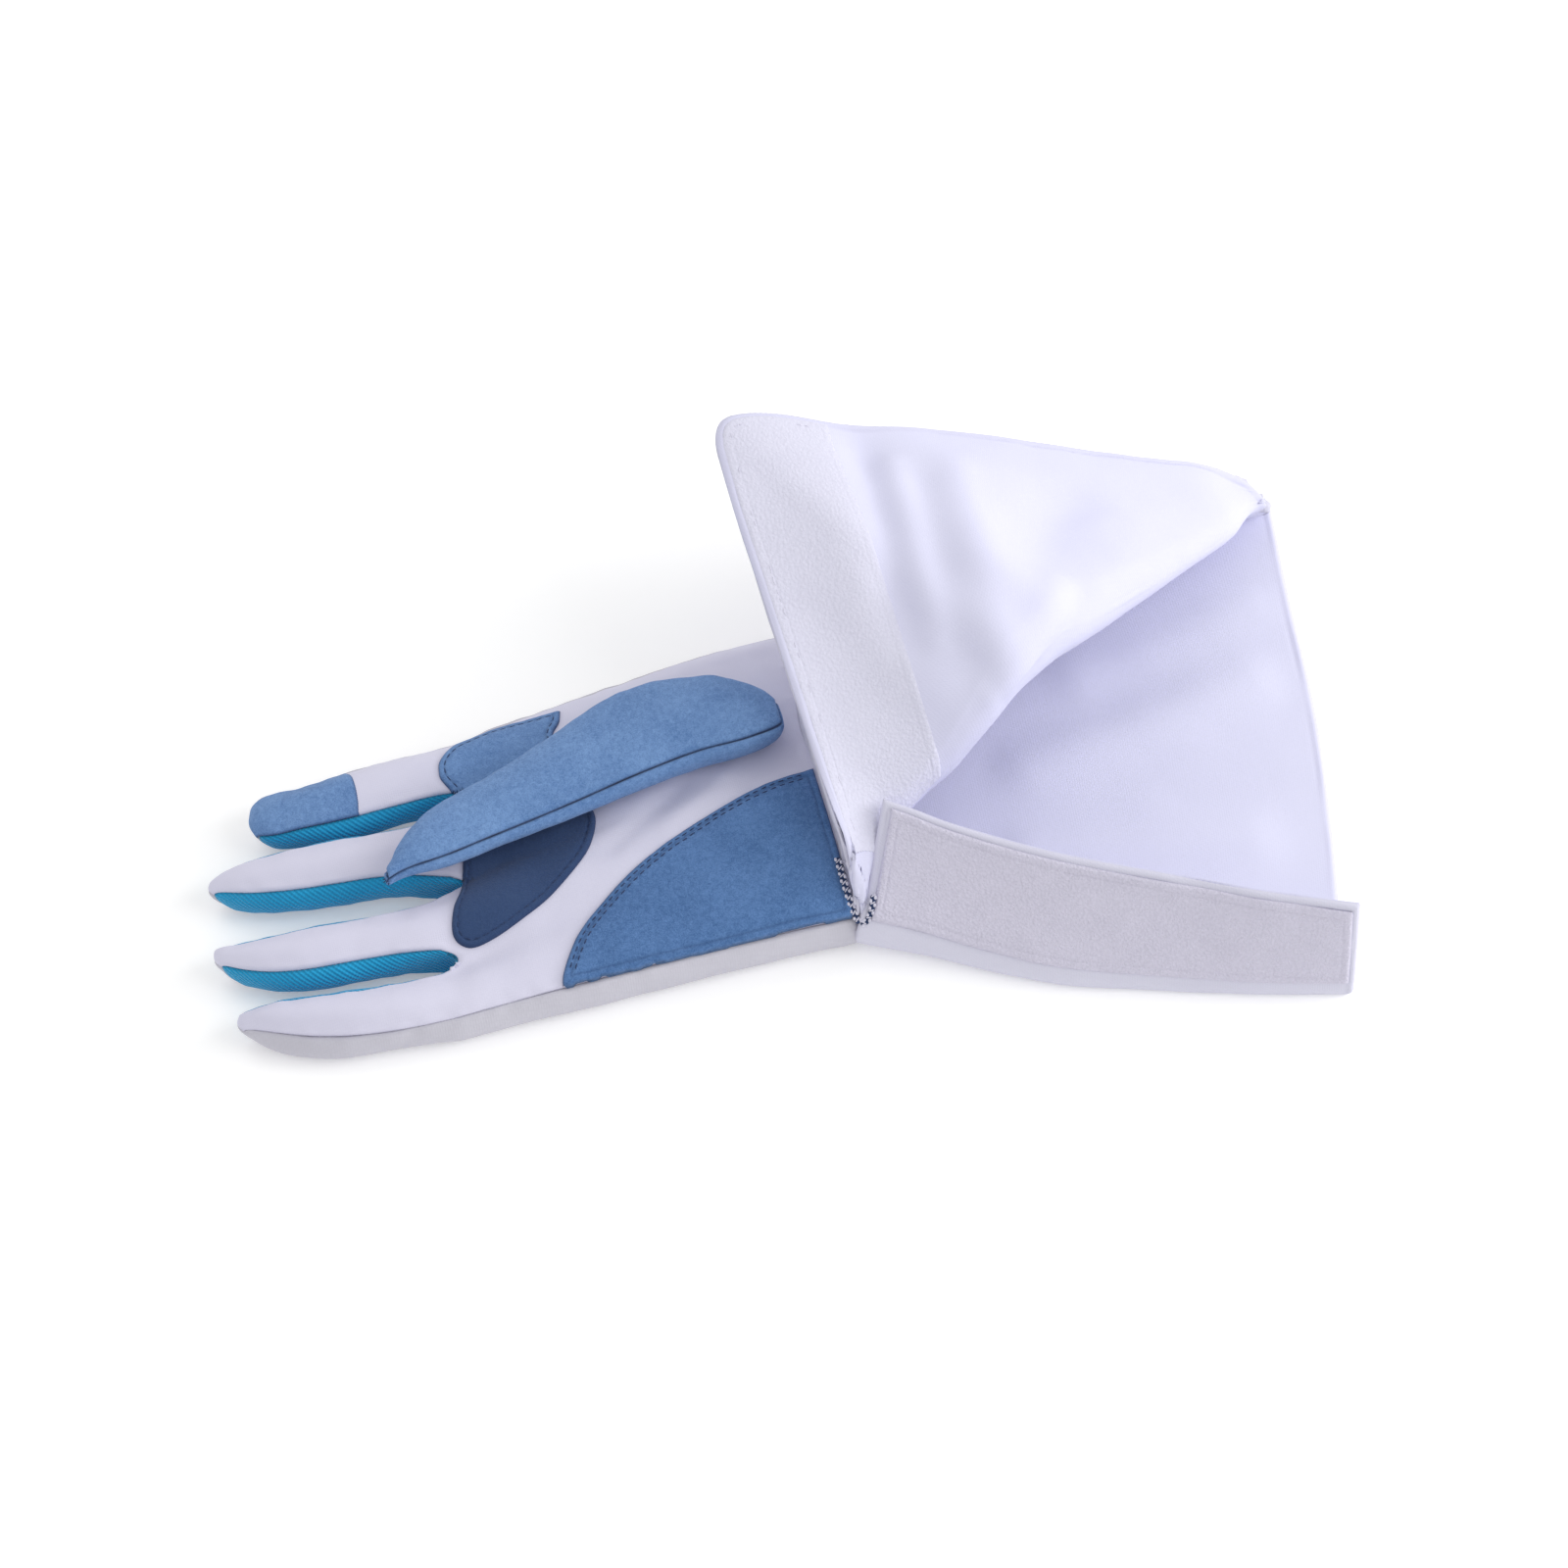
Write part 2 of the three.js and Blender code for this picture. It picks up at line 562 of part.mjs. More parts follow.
// Fourchettes: from one fingertip down to the slot and up to the next tip
const SLOT_NAMES = ['ring_little', 'middle_ring', 'index_middle'];
SLOT_NAMES.forEach((name, k) => {
  const a = fingerSides[k];
  const b = fingerSides[k + 1];
  const root = (line, c) => line[ROOT_ROW][c];
  const between = (upperId, lowerId, outward, share) => {
    const upper = hand.points[upperId];
    const lower = hand.points[lowerId];
    const p = upper.clone().lerp(lower, share);
    return hand.point(p.x + outward[0], p.y + outward[1], p.z);
  };
  const swell = SIDE_BULGE * FINGER_ROWS[0].swell;
  const first = k * 6 + 4;
  const column = (c, outward) => {
    const upper = root(topRows, c);
    const lower = root(lowRows, c);
    const points = [between(upper, lower, outward, 0.38), between(upper, lower, outward, 0.76)];
    return [upper, ...points, lower];
  };
  const stations = [];
  for (let r = a.top.length - 1; r > 0; r -= 1) {
    stations.push([a.top[r][4], ...a.radial[r], a.low[r][4]]);
  }
  stations.push(column(first, [0, swell]));
  stations.push(column(first + 1, [-swell, 0]));
  stations.push(column(first + 2, [0, -swell]));
  for (let r = 1; r < b.top.length; r += 1) {
    stations.push([b.top[r][0], ...b.ulnar[r], b.low[r][0]]);
  }
  for (let s = 0; s + 1 < stations.length; s += 1) {
    for (let c = 0; c < 3; c += 1) {
      const here = stations[s];
      const next = stations[s + 1];
      hand.quad(name, here[c], next[c], next[c + 1], here[c + 1]);
    }
  }
});

const HALF_GAP = SEAM_GAP / 2;
const isPanel = (panel) => (face) => face.panel === panel;
const handSheet = (panel, thickness, back = HALF_GAP) => (
  thickSheet(hand, isPanel(panel), 0, -thickness, back)
);

// Patches lie on the palm side as a second layer
function patch(outline, low, high) {
  const sheet = toSolid(thickSheet(hand, isPanel('palm'), high, low, HALF_GAP));
  const points = outline.map(([x, y]) => [handX(x), handY(y)]);
  return sheet.intersect(prism(points, -PALM_DEPTH, PALM_DEPTH * 3));
}
const PATCH_LOW = LAYER_GAP;
const PATCH_HIGH = LAYER_GAP + SUEDE;

const INDEX_CAP_OUTLINE = [
  [0.715, 0.400], [0.713, 0.228], [0.722, 0.190], [0.726, 0.150], [0.722, 0.105],
  [0.716, 0.055], [0.716, 0.030], [0.940, 0.030], [0.940, 0.400],
];
const INDEX_PALM_OUTLINE = [
  [0.583, 0.150], [0.577, 0.188], [0.552, 0.232], [0.520, 0.255], [0.475, 0.277],
  [0.365, 0.300], [0.372, 0.255], [0.387, 0.215], [0.387, 0.180], [0.372, 0.040],
  [0.360, -0.060], [0.360, -0.130], [0.390, -0.225], [0.458, -0.325], [0.530, -0.390],
  [0.583, -0.418], [0.607, -0.410], [0.621, -0.372], [0.610, -0.300], [0.592, -0.240],
  [0.575, -0.120], [0.565, 0.000], [0.560, 0.075],
];
const HEEL_OUTLINE = [
  [0.004, -0.700], [0.004, -0.122], [0.085, -0.140], [0.190, -0.190], [0.297, -0.280],
  [0.370, -0.365], [0.430, -0.460], [0.467, -0.560], [0.474, -0.630], [0.474, -0.700],
];

// Thumb pouch: its own closed skin of an upper and an under face
const thumb = new Skin();
const THUMB_TOP = 6;
const THUMB_UNDER = 8;
const THUMB_TIP_X = -135;
const thumbRows = THUMB_ROWS.map((row) => {
  const x = THUMB_TIP_X + row.along * THUMB_LENGTH;
  const near = row.near * THUMB_WIDTH;
  const far = row.far * THUMB_WIDTH;
  const lift = row.lift * THUMB_LIFT;
  const top = [];
  for (let i = 0; i <= THUMB_TOP; i += 1) {
    const share = i / THUMB_TOP;
    const side = share * 2 - 1;
    const rise = THUMB_CROWN * row.crown * Math.sqrt(Math.max(0, 1 - side * side));
    top.push(thumb.point(x, mix(near, far, share), lift + rise));
  }
  const under = [top[0]];
  for (let i = 1; i < THUMB_UNDER; i += 1) {
    const side = -Math.cos((Math.PI * i) / THUMB_UNDER);
    const drop = THUMB_DEPTH * row.depth * (1 - side ** 4) ** 0.6;
    const y = mix(near, far, (side * 1.03 + 1) / 2);
    under.push(thumb.point(x, y, lift - drop));
  }
  under.push(top[THUMB_TOP]);
  return { top, under };
});
for (let r = 0; r + 1 < thumbRows.length; r += 1) {
  const here = thumbRows[r];
  const next = thumbRows[r + 1];
  for (let i = 0; i < THUMB_TOP; i += 1) {
    thumb.quad('upper', here.top[i], next.top[i], next.top[i + 1], here.top[i + 1]);
  }
  for (let i = 0; i < THUMB_UNDER; i += 1) {
    thumb.quad('under', here.under[i], here.under[i + 1], next.under[i + 1], next.under[i]);
  }
}
// The blunt ends are closed by the under face, between top and under points
function closeThumbEnd(row, flip) {
  const { top, under } = row;
  const loop = [...under, ...top.slice(1, -1).reverse()];
  let x = 0;
  let y = 0;
  let z = 0;
  loop.forEach((id) => {
    x += thumb.points[id].x / loop.length;
    y += thumb.points[id].y / loop.length;
    z += thumb.points[id].z / loop.length;
  });
  const centre = thumb.point(x, y, z);
  loop.forEach((id, i) => {
    const next = loop[(i + 1) % loop.length];
    if (flip) thumb.triangle('under', centre, id, next);
    else thumb.triangle('under', centre, next, id);
  });
}
closeThumbEnd(thumbRows[0], false);
closeThumbEnd(thumbRows[thumbRows.length - 1], true);

// Hole in the palm and the neck of the thumb that passes through it
const THUMB_HOLE_X = -40;
const THUMB_HOLE_Y = 11;
const THUMB_HOLE_TURN = 0.24;
const NECK_FOOT = 13;
const NECK_TOP = THUMB_LIFT * 0.74;
const NECK_SIDES = 28;
function ellipse(grow) {
  const points = [];
  for (let i = 0; i < NECK_SIDES; i += 1) {
    const angle = (2 * Math.PI * i) / NECK_SIDES;
    const u = Math.cos(angle) * (THUMB_HOLE_LENGTH / 2 + grow);
    const v = Math.sin(angle) * (THUMB_HOLE_WIDTH / 2 + grow);
    const c = Math.cos(THUMB_HOLE_TURN);
    const s = Math.sin(THUMB_HOLE_TURN);
    points.push([THUMB_HOLE_X + u * c - v * s, THUMB_HOLE_Y + u * s + v * c]);
  }
  return points;
}
function thumbUnder() {
  const sheet = toSolid(thickSheet(thumb, isPanel('under'), 0, -SUEDE, HALF_GAP));
  const core = toSolid(thickSheetCore(thumb, -SUEDE / 2));
  const tube = prism(ellipse(-LAYER_GAP), NECK_FOOT, NECK_TOP);
  const bore = prism(ellipse(-LAYER_GAP - SUEDE), NECK_FOOT - 1, NECK_TOP + 1);
  const neck = tube.subtract(bore).subtract(core);
  return sheet.subtract(bore).add(neck);
}
// Closed body inside a skin that has no open edge
function thickSheetCore(skin, offset) {
  const normals = skin.normals();
  const positions = [];
  skin.points.forEach((p, id) => {
    const q = p.clone().addScaledVector(normals[id], offset);
    positions.push(q.x, q.y, q.z);
  });
  const ids = skin.faces.flatMap((face) => [face.a, face.b, face.c]);
  return makeGeometry(positions, ids);
}
const thumbHole = () => prism(ellipse(0), 1 + CLOTH * 2, PALM_DEPTH * 3);

// Cuff: one sheet round the wrist, open along the slit
const SHEET_HALF_GAP = LAYER_GAP / 2;
const CUFF_FLOOR = SHELL + SHEET_HALF_GAP;
const wristUlnarY = handY(ULNAR_WRIST);
const wristRadialY = handY(RADIAL_WRIST);
const RIM_RADIAL_Y = 66;

const cuff = new Skin();
const slit = { x: 1.5, y: wristUlnarY + 1.5 };
const creaseEnd = { x: CUFF_LENGTH + 1.5, y: RIM_RADIAL_Y - 3 };
const creaseLength = Math.hypot(creaseEnd.x - slit.x, creaseEnd.y - slit.y);
const way = {
  x: (creaseEnd.x - slit.x) / creaseLength,
  y: (creaseEnd.y - slit.y) / creaseLength,
};
// Across the crease, pointing to the little finger side of the rim
const across = { x: way.y, y: -way.x };
const FLAP_CORNER = 0.35;
const CORNER_ROUND = 0.045;
const CREASE_START = 0.024;

function wristTop(y) {
  const share = (y - wristUlnarY) / (wristRadialY - wristUlnarY);
  return palmHeight(Math.min(1, Math.max(0, share)), PALM_ROWS[0].crown) - SHELL / 2;
}

// Where the palm side of the cuff starts: on the wrist, then on the radial side
const WRIST_STATIONS = 8;
const RADIAL_SHARES = [0, 0.03, 0.08, 0.15, 0.22, 0.29, 0.39, 0.5, 0.6, 0.7, 0.79, 0.87, 0.94, 1];
const radialLow = { x: 0, y: wristRadialY, z: RADIAL_SEAM_HEIGHT };
const radialHigh = { x: CUFF_LENGTH, y: RIM_RADIAL_Y, z: RADIAL_SEAM_HEIGHT };
const toCrease = (p) => ({
  t: (p.x - slit.x) * way.x + (p.y - slit.y) * way.y,
  w: (p.x - slit.x) * across.x + (p.y - slit.y) * across.y,
});
const wristEnd = toCrease(radialLow);
const stations = [];
for (let i = 0; i < WRIST_STATIONS; i += 1) {
  const t = mix(CREASE_START * creaseLength, wristEnd.t, i / WRIST_STATIONS);
  const w = (-slit.x - t * way.x) / across.x;
  const y = slit.y + t * way.y + w * across.y;
  stations.push({ t, w, z: wristTop(y) });
}
RADIAL_SHARES.forEach((share) => {
  const p = {
    x: mix(radialLow.x, radialHigh.x, share),
    y: mix(radialLow.y, radialHigh.y, share),
    z: mix(radialLow.z, radialHigh.z, share),
  };
  stations.push({ ...toCrease(p), z: p.z });
});

const ATTACHED_STEPS = 4;
const ROLL_STEPS = 7;
const FLAP_STEPS = 7;
const END_WIDTH = 4;
const ATTACHED_BOW = 5;

function flapEnd(t) {
  const share = t / creaseLength;
  const round = Math.exp(-(((share - FLAP_CORNER) / CORNER_ROUND) ** 2)) * CORNER_ROUND;
  const reach = FLAP_REACH * (1 - round * 0.8);
  const height = FLAP_HEIGHT * (1 - round * 0.8);
  if (share < FLAP_CORNER) {
    const s = share / FLAP_CORNER;
    return { w: -reach * s, z: readTable(EDGE_HEIGHTS, 'height', s) * height };
  }
  const s = (share - FLAP_CORNER) / (1 - FLAP_CORNER);
  return { w: -mix(reach, END_WIDTH, s), z: readTable(RIM_HEIGHTS, 'height', s) * height };
}

function foldShift(share, q) {
  let shift = 0;
  FLAP_FOLDS.forEach((fold) => {
    const dt = (fold.t2 - fold.t1) * creaseLength;
    const dq = (fold.q2 - fold.q1) * FLAP_REACH;
    const pt = (share - fold.t1) * creaseLength;
    const pq = (q - fold.q1) * FLAP_REACH;
    const along = Math.min(1, Math.max(0, (pt * dt + pq * dq) / (dt * dt + dq * dq)));
    const gap = Math.hypot(pt - along * dt, pq - along * dq);
    shift += fold.depth * FOLD_DEPTH * Math.exp(-((gap / (fold.width * FLAP_REACH)) ** 2));
  });
  return shift;
}

// One section across the crease: attached side, roll, then the flap
const kite = stations.map((station) => {
  const share = station.t / creaseLength;
  const radius = readTable(CREASE_ROWS, 'radius', share) * ROLL_RADIUS;
  const height = readTable(CREASE_ROWS, 'height', share) * ROLL_HEIGHT;
  const inset = readTable(CREASE_ROWS, 'inset', share) * ROLL_RADIUS;
  const centre = { w: -radius - inset, z: height };
  const end = flapEnd(station.t);
  const tangent = (p, turn) => {
    const dw = p.w - centre.w;
    const dz = p.z - centre.z;
    const reach = Math.hypot(dw, dz);
    return Math.atan2(dz, dw) + turn * Math.acos(Math.min(1, radius / reach));
  };
  let start = tangent(station, 1);
  let finish = tangent(end, -1);
  while (start < 0) start += 2 * Math.PI;
  while (finish < start) finish += 2 * Math.PI;
  const line = [];
  const onRoll = (angle) => ({
    w: centre.w + radius * Math.cos(angle),
    z: centre.z + radius * Math.sin(angle),
  });
  const low = onRoll(start);
  const high = onRoll(finish);
  const span = Math.hypot(low.w - station.w, low.z - station.z);
  for (let i = 0; i < ATTACHED_STEPS; i += 1) {
    const s = i / ATTACHED_STEPS;
    const bow = ATTACHED_BOW * Math.min(1, span / FLAP_REACH) * Math.sin(Math.PI * s);
    line.push({ w: mix(station.w, low.w, s), z: mix(station.z, low.z, s) + bow });
  }
  for (let i = 0; i <= ROLL_STEPS; i += 1) {
    line.push(onRoll(mix(start, finish, i / ROLL_STEPS)));
  }
  for (let i = 1; i <= FLAP_STEPS; i += 1) {
    const s = i / FLAP_STEPS;
    const lift = foldShift(share, s);
    line.push({ w: mix(high.w, end.w, s), z: mix(high.z, end.z, s) + lift });
  }
  return line.map((p) => cuff.point(
    slit.x + station.t * way.x + p.w * across.x,
    slit.y + station.t * way.y + p.w * across.y,
    p.z,
  ));
});
const KITE_LAST = ATTACHED_STEPS + ROLL_STEPS + FLAP_STEPS;
const isFlapStep = (c) => c >= ATTACHED_STEPS + 4;
for (let i = 0; i + 1 < kite.length; i += 1) {
  for (let c = 0; c < KITE_LAST; c += 1) {
    const panel = isFlapStep(c) ? 'flap' : 'attached';
    cuff.quad(panel, kite[i][c], kite[i][c + 1], kite[i + 1][c + 1], kite[i + 1][c]);
  }
}

// Back of the cuff: radial side, flat back, little finger side, underlap
const BACK_STEPS = 5;
const HOOK_STEPS = 4;
const RIM_BOW = 7.5;
const backRows = RADIAL_SHARES.map((share, j) => {
  const seam = cuff.points[kite[WRIST_STATIONS + j][0]];
  const line = [kite[WRIST_STATIONS + j][0]];
  line.push(cuff.point(seam.x, seam.y + SIDE_BULGE, seam.z * 0.55));
  line.push(cuff.point(seam.x, seam.y + SIDE_BULGE * 0.4, CUFF_FLOOR));
  const read = (column) => readTable(UNDERLAP_ROWS, column, share);
  const ulnarX = share * UNDERLAP_LENGTH;
  const outY = wristUlnarY - SIDE_BULGE + SHELL - read('out') * RIM_WIDTH;
  const from = { x: seam.x, y: seam.y - SIDE_BULGE };
  const to = { x: ulnarX, y: outY + SIDE_BULGE * 2 };
  for (let i = 1; i <= BACK_STEPS; i += 1) {
    const s = i / BACK_STEPS;
    const bow = RIM_BOW * share * Math.sin(Math.PI * s ** 0.7);
    line.push(cuff.point(mix(from.x, to.x, s) + bow, mix(from.y, to.y, s), CUFF_FLOOR));
  }
  const low = Math.max(CUFF_FLOOR, read('low') * STRIP_WIDTH);
  line.push(cuff.point(ulnarX, outY, low));
  const start = Math.max(0, 1 - share / 0.12) * SLIT_GAP;
  const foot = { x: ulnarX + start, y: outY - 0.6, z: read('foot') * STRIP_WIDTH };
  line.push(cuff.point(foot.x, foot.y, foot.z));
  for (let i = 1; i <= HOOK_STEPS; i += 1) {
    const s = i / HOOK_STEPS;
    line.push(cuff.point(
      foot.x + read('skew') * STRIP_WIDTH * s,
      foot.y + read('lean') * STRIP_WIDTH * s,
      mix(foot.z, read('top') * STRIP_WIDTH, s),
    ));
  }
  return line;
});
const BACK_LAST = backRows[0].length - 1;
for (let j = 0; j + 1 < backRows.length; j += 1) {
  for (let c = 0; c < BACK_LAST; c += 1) {
    const panel = c >= BACK_LAST - HOOK_STEPS ? 'underlap' : 'cuffBack';
    const here = backRows[j];
    const next = backRows[j + 1];
    cuff.quad(panel, here[c], next[c], next[c + 1], here[c + 1]);
  }
}

const anyFace = () => true;
const shellGeometry = () => thickSheet(cuff, anyFace, CUFF_FLOOR, SHEET_HALF_GAP, HALF_GAP);
const liningGeometry = () => (
  thickSheet(cuff, anyFace, -SHEET_HALF_GAP, -SHEET_HALF_GAP - LINING, HALF_GAP)
);
const HOOK_LOW = CUFF_FLOOR + LAYER_GAP;
const hookGeometry = () => (
  thickSheet(cuff, isPanel('underlap'), HOOK_LOW + HOOK_THICKNESS, HOOK_LOW, STRIP_MARGIN)
);

// Loop strip: the flap's inner layer within STRIP_WIDTH of its slit edge
function loopStrip() {
  const high = -SHEET_HALF_GAP - LINING - LAYER_GAP;
  const low = high - LOOP_THICKNESS;
  const sheet = toSolid(thickSheet(cuff, isPanel('flap'), high, low, HALF_GAP));
  const corner = kite.reduce((best, line) => {
    const p = cuff.points[line[KITE_LAST]];
    return p.z > best.z ? p : best;
  }, cuff.points[kite[0][KITE_LAST]]);
  const foot = cuff.points[kite[0][KITE_LAST]];
  const rim = cuff.points[kite[kite.length - 1][KITE_LAST]];
  const along = corner.clone().sub(foot).normalize();
  const over = rim.clone().sub(foot);
  const side = over.addScaledVector(along, -over.dot(along)).normalize();
  const up = new THREE.Vector3().crossVectors(along, side);
  const length = corner.distanceTo(foot);
  const geometry = new THREE.BoxGeometry(length * 1.4, STRIP_WIDTH, FLAP_REACH);
  const frame = new THREE.Matrix4().makeBasis(along, side, up);
  const middle = foot.clone().addScaledVector(along, length * 0.5);
  frame.setPosition(middle.addScaledVector(side, STRIP_MARGIN + STRIP_WIDTH / 2));
  geometry.applyMatrix4(frame);
  return sheet.intersect(toSolid(geometry));
}

// Overlocked edge over the wrist end of the heel patch
function overlock() {
  const low = PATCH_HIGH + LAYER_GAP;
  const sheet = toSolid(
    thickSheet(hand, isPanel('palm'), low + OVERLOCK_THICKNESS, low, HALF_GAP),
  );
  const x = -SEAM_GAP;
  const y = wristUlnarY;
  const outline = [
    [x, y - SIDE_BULGE],
    [x, y + OVERLOCK_LENGTH],
    [x - OVERLOCK_WIDTH, y + OVERLOCK_LENGTH],
    [x - OVERLOCK_WIDTH, y - SIDE_BULGE],
  ];
  return sheet.intersect(prism(outline, 0, PALM_DEPTH * 3));
}

// Colours and surfaces
const material = (color, roughness) => (
  new THREE.MeshStandardMaterial({ color, roughness, metalness: 0 })
);
const palmWhite = material(0xe4e3f2, 0.6);
const backWhite = material(0xe0dfee, 0.75);
const tealKnit = material(0x2191c0, 0.85);
const blueSuede = material(0x5a86bd, 0.95);
const cuffWhite = material(0xe6e5f2, 0.8);
const liningWhite = material(0xebeafb, 0.85);
const loopWhite = material(0xe2e0ec, 0.95);
const hookGrey = material(0xd0ccd9, 0.9);
const threadWhite = material(0xd8d8e6, 0.9);

const glove = new THREE.Group();
function piece(name, geometry, look) {
  const mesh = new THREE.Mesh(geometry, look);
  mesh.name = name;
  glove.add(mesh);
}

piece('palm_panel', toGeometry(toSolid(handSheet('palm', CLOTH)).subtract(thumbHole())), palmWhite);
piece('back_panel', handSheet('back', CLOTH), backWhite);
SLOT_NAMES.forEach((name) => piece(`fourchette_${name}`, handSheet(name, KNIT, SEAM_GAP * 0.7), tealKnit));
piece('index_tip_cap', toGeometry(patch(INDEX_CAP_OUTLINE, PATCH_LOW, PATCH_HIGH)), blueSuede);
const palmPatch = patch(INDEX_PALM_OUTLINE, PATCH_LOW, PATCH_HIGH).subtract(
  prism(ellipse(1), 0, PALM_DEPTH * 3),
);
piece('index_palm_patch', toGeometry(palmPatch), blueSuede);
piece('heel_patch', toGeometry(patch(HEEL_OUTLINE, PATCH_LOW, PATCH_HIGH)), blueSuede);
piece('thumb_upper_panel', thickSheet(thumb, isPanel('upper'), 0, -SUEDE, HALF_GAP), blueSuede);
piece('thumb_under_panel', toGeometry(thumbUnder()), blueSuede);
piece('cuff_shell', shellGeometry(), cuffWhite);
piece('cuff_lining', liningGeometry(), liningWhite);
piece('loop_strip', toGeometry(loopStrip()), loopWhite);
piece('hook_strip', hookGeometry(), hookGrey);
piece('slit_overlock', toGeometry(overlock()), threadWhite);

// Stand the glove over the middle of its own outline
const bounds = new THREE.Box3().setFromObject(glove);
const centre = bounds.getCenter(new THREE.Vector3());
glove.children.forEach((mesh) => mesh.position.set(-centre.x, -centre.y, -bounds.min.z));

export default glove;
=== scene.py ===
import math

import bmesh
import bpy
from mathutils import Matrix, Vector, noise
from mathutils.bvhtree import BVHTree
from mathutils.geometry import delaunay_2d_cdt
from mathutils.kdtree import KDTree


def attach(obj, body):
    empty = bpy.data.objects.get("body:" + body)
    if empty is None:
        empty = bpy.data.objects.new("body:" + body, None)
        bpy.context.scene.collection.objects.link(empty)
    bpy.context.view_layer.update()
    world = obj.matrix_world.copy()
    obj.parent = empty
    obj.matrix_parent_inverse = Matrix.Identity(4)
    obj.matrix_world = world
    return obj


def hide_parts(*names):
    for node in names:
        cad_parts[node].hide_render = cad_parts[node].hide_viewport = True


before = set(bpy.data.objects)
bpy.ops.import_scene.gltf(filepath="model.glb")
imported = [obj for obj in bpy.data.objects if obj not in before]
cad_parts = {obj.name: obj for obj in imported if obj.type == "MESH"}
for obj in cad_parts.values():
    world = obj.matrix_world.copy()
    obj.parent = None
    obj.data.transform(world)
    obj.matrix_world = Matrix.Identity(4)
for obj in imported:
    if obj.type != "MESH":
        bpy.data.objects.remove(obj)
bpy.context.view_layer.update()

# Sizes in millimetres, with the same names and values as in the part's source
HAND_LENGTH = 192
HAND_WIDTH = 115
PALM_DEPTH = 23
FINGER_DEPTH = 17
ULNAR_SEAM_HEIGHT = 13
RADIAL_SEAM_HEIGHT = 11
SIDE_BULGE = 3.2
CLOTH = 1.2
KNIT = 0.9
SUEDE = 1.1
LAYER_GAP = 0.3
THUMB_LENGTH = 130
THUMB_WIDTH = 37
THUMB_LIFT = 33
THUMB_DEPTH = 11
THUMB_CROWN = 5
THUMB_HOLE_LENGTH = 56
THUMB_HOLE_WIDTH = 27
CUFF_LENGTH = 171
UNDERLAP_LENGTH = 141
RIM_WIDTH = 184
SHELL = 1.5
LINING = 1.2
FLAP_REACH = 125
FLAP_HEIGHT = 90
ROLL_HEIGHT = 52
ROLL_RADIUS = 14
FOLD_DEPTH = 3
STRIP_WIDTH = 35
HOOK_THICKNESS = 1.2
STRIP_MARGIN = 2
SLIT_GAP = 0.8

# Thickness of the shown sheets, thinner than the solids' so that the layers lie close
SHELL_WALL = 1.0
LINING_WALL = 0.9
LOOP_WALL = 0.6
NECK_WALL = 0.8

# From the source's own frame to the middle of the glove's outline
PLACE = Vector((8.348, 20.693, 0.0))

# Seam lines of the fingers, little finger first: along, ulnar, radial, seam
FINGERS = [
    [
        (0.651, -0.613, -0.470, 0.741),
        (0.724, -0.611, -0.478, 0.729),
        (0.802, -0.598, -0.472, 0.718),
        (0.865, -0.574, -0.461, 0.694),
        (0.917, -0.542, -0.448, 0.647),
        (0.948, -0.520, -0.450, 0.588),
        (0.969, -0.508, -0.452, 0.506),
    ],
    [
        (0.646, -0.410, -0.248, 0.824),
        (0.714, -0.391, -0.252, 0.800),
        (0.792, -0.384, -0.252, 0.788),
        (0.865, -0.377, -0.250, 0.765),
        (0.922, -0.352, -0.248, 0.706),
        (0.961, -0.317, -0.243, 0.624),
        (0.984, -0.293, -0.238, 0.518),
    ],
    [
        (0.604, -0.184, 0.020, 0.835),
        (0.680, -0.144, 0.012, 0.820),
        (0.765, -0.129, 0.011, 0.806),
        (0.850, -0.118, 0.012, 0.780),
        (0.915, -0.095, 0.010, 0.720),
        (0.954, -0.068, 0.000, 0.625),
        (0.974, -0.058, -0.014, 0.518),
    ],
    [
        (0.568, 0.092, 0.270, 0.824),
        (0.630, 0.091, 0.265, 0.824),
        (0.698, 0.084, 0.254, 0.812),
        (0.765, 0.079, 0.236, 0.790),
        (0.820, 0.083, 0.224, 0.740),
        (0.864, 0.086, 0.222, 0.660),
        (0.888, 0.106, 0.198, 0.520),
    ],
]

# How a finger closes toward its tip: crown, keel, swell, reach
FINGER_ROWS = [
    (0.170, 0.120, 0.150, 0.000),
    (0.190, 0.120, 0.650, 0.000),
    (0.190, 0.110, 0.900, 0.000),
    (0.185, 0.110, 0.900, 0.000),
    (0.170, 0.120, 0.700, 0.020),
    (0.130, 0.160, 0.450, 0.050),
    (0.000, 0.300, 0.000, 0.080),
]
SLOTS = [(0.624, -0.440), (0.587, -0.215), (0.546, 0.057)]

# Rows of the palm: along, crown, fingers
PALM_ROWS = [
    (0.00, 1.00, 0.0),
    (0.09, 0.98, 0.0),
    (0.19, 0.94, 0.0),
    (0.30, 0.88, 0.0),
    (0.41, 0.84, 0.0),
    (0.52, 0.81, 0.0),
    (0.63, 0.78, 0.1),
    (0.74, 0.76, 0.3),
    (0.84, 0.74, 0.6),
    (0.93, 0.73, 0.9),
]

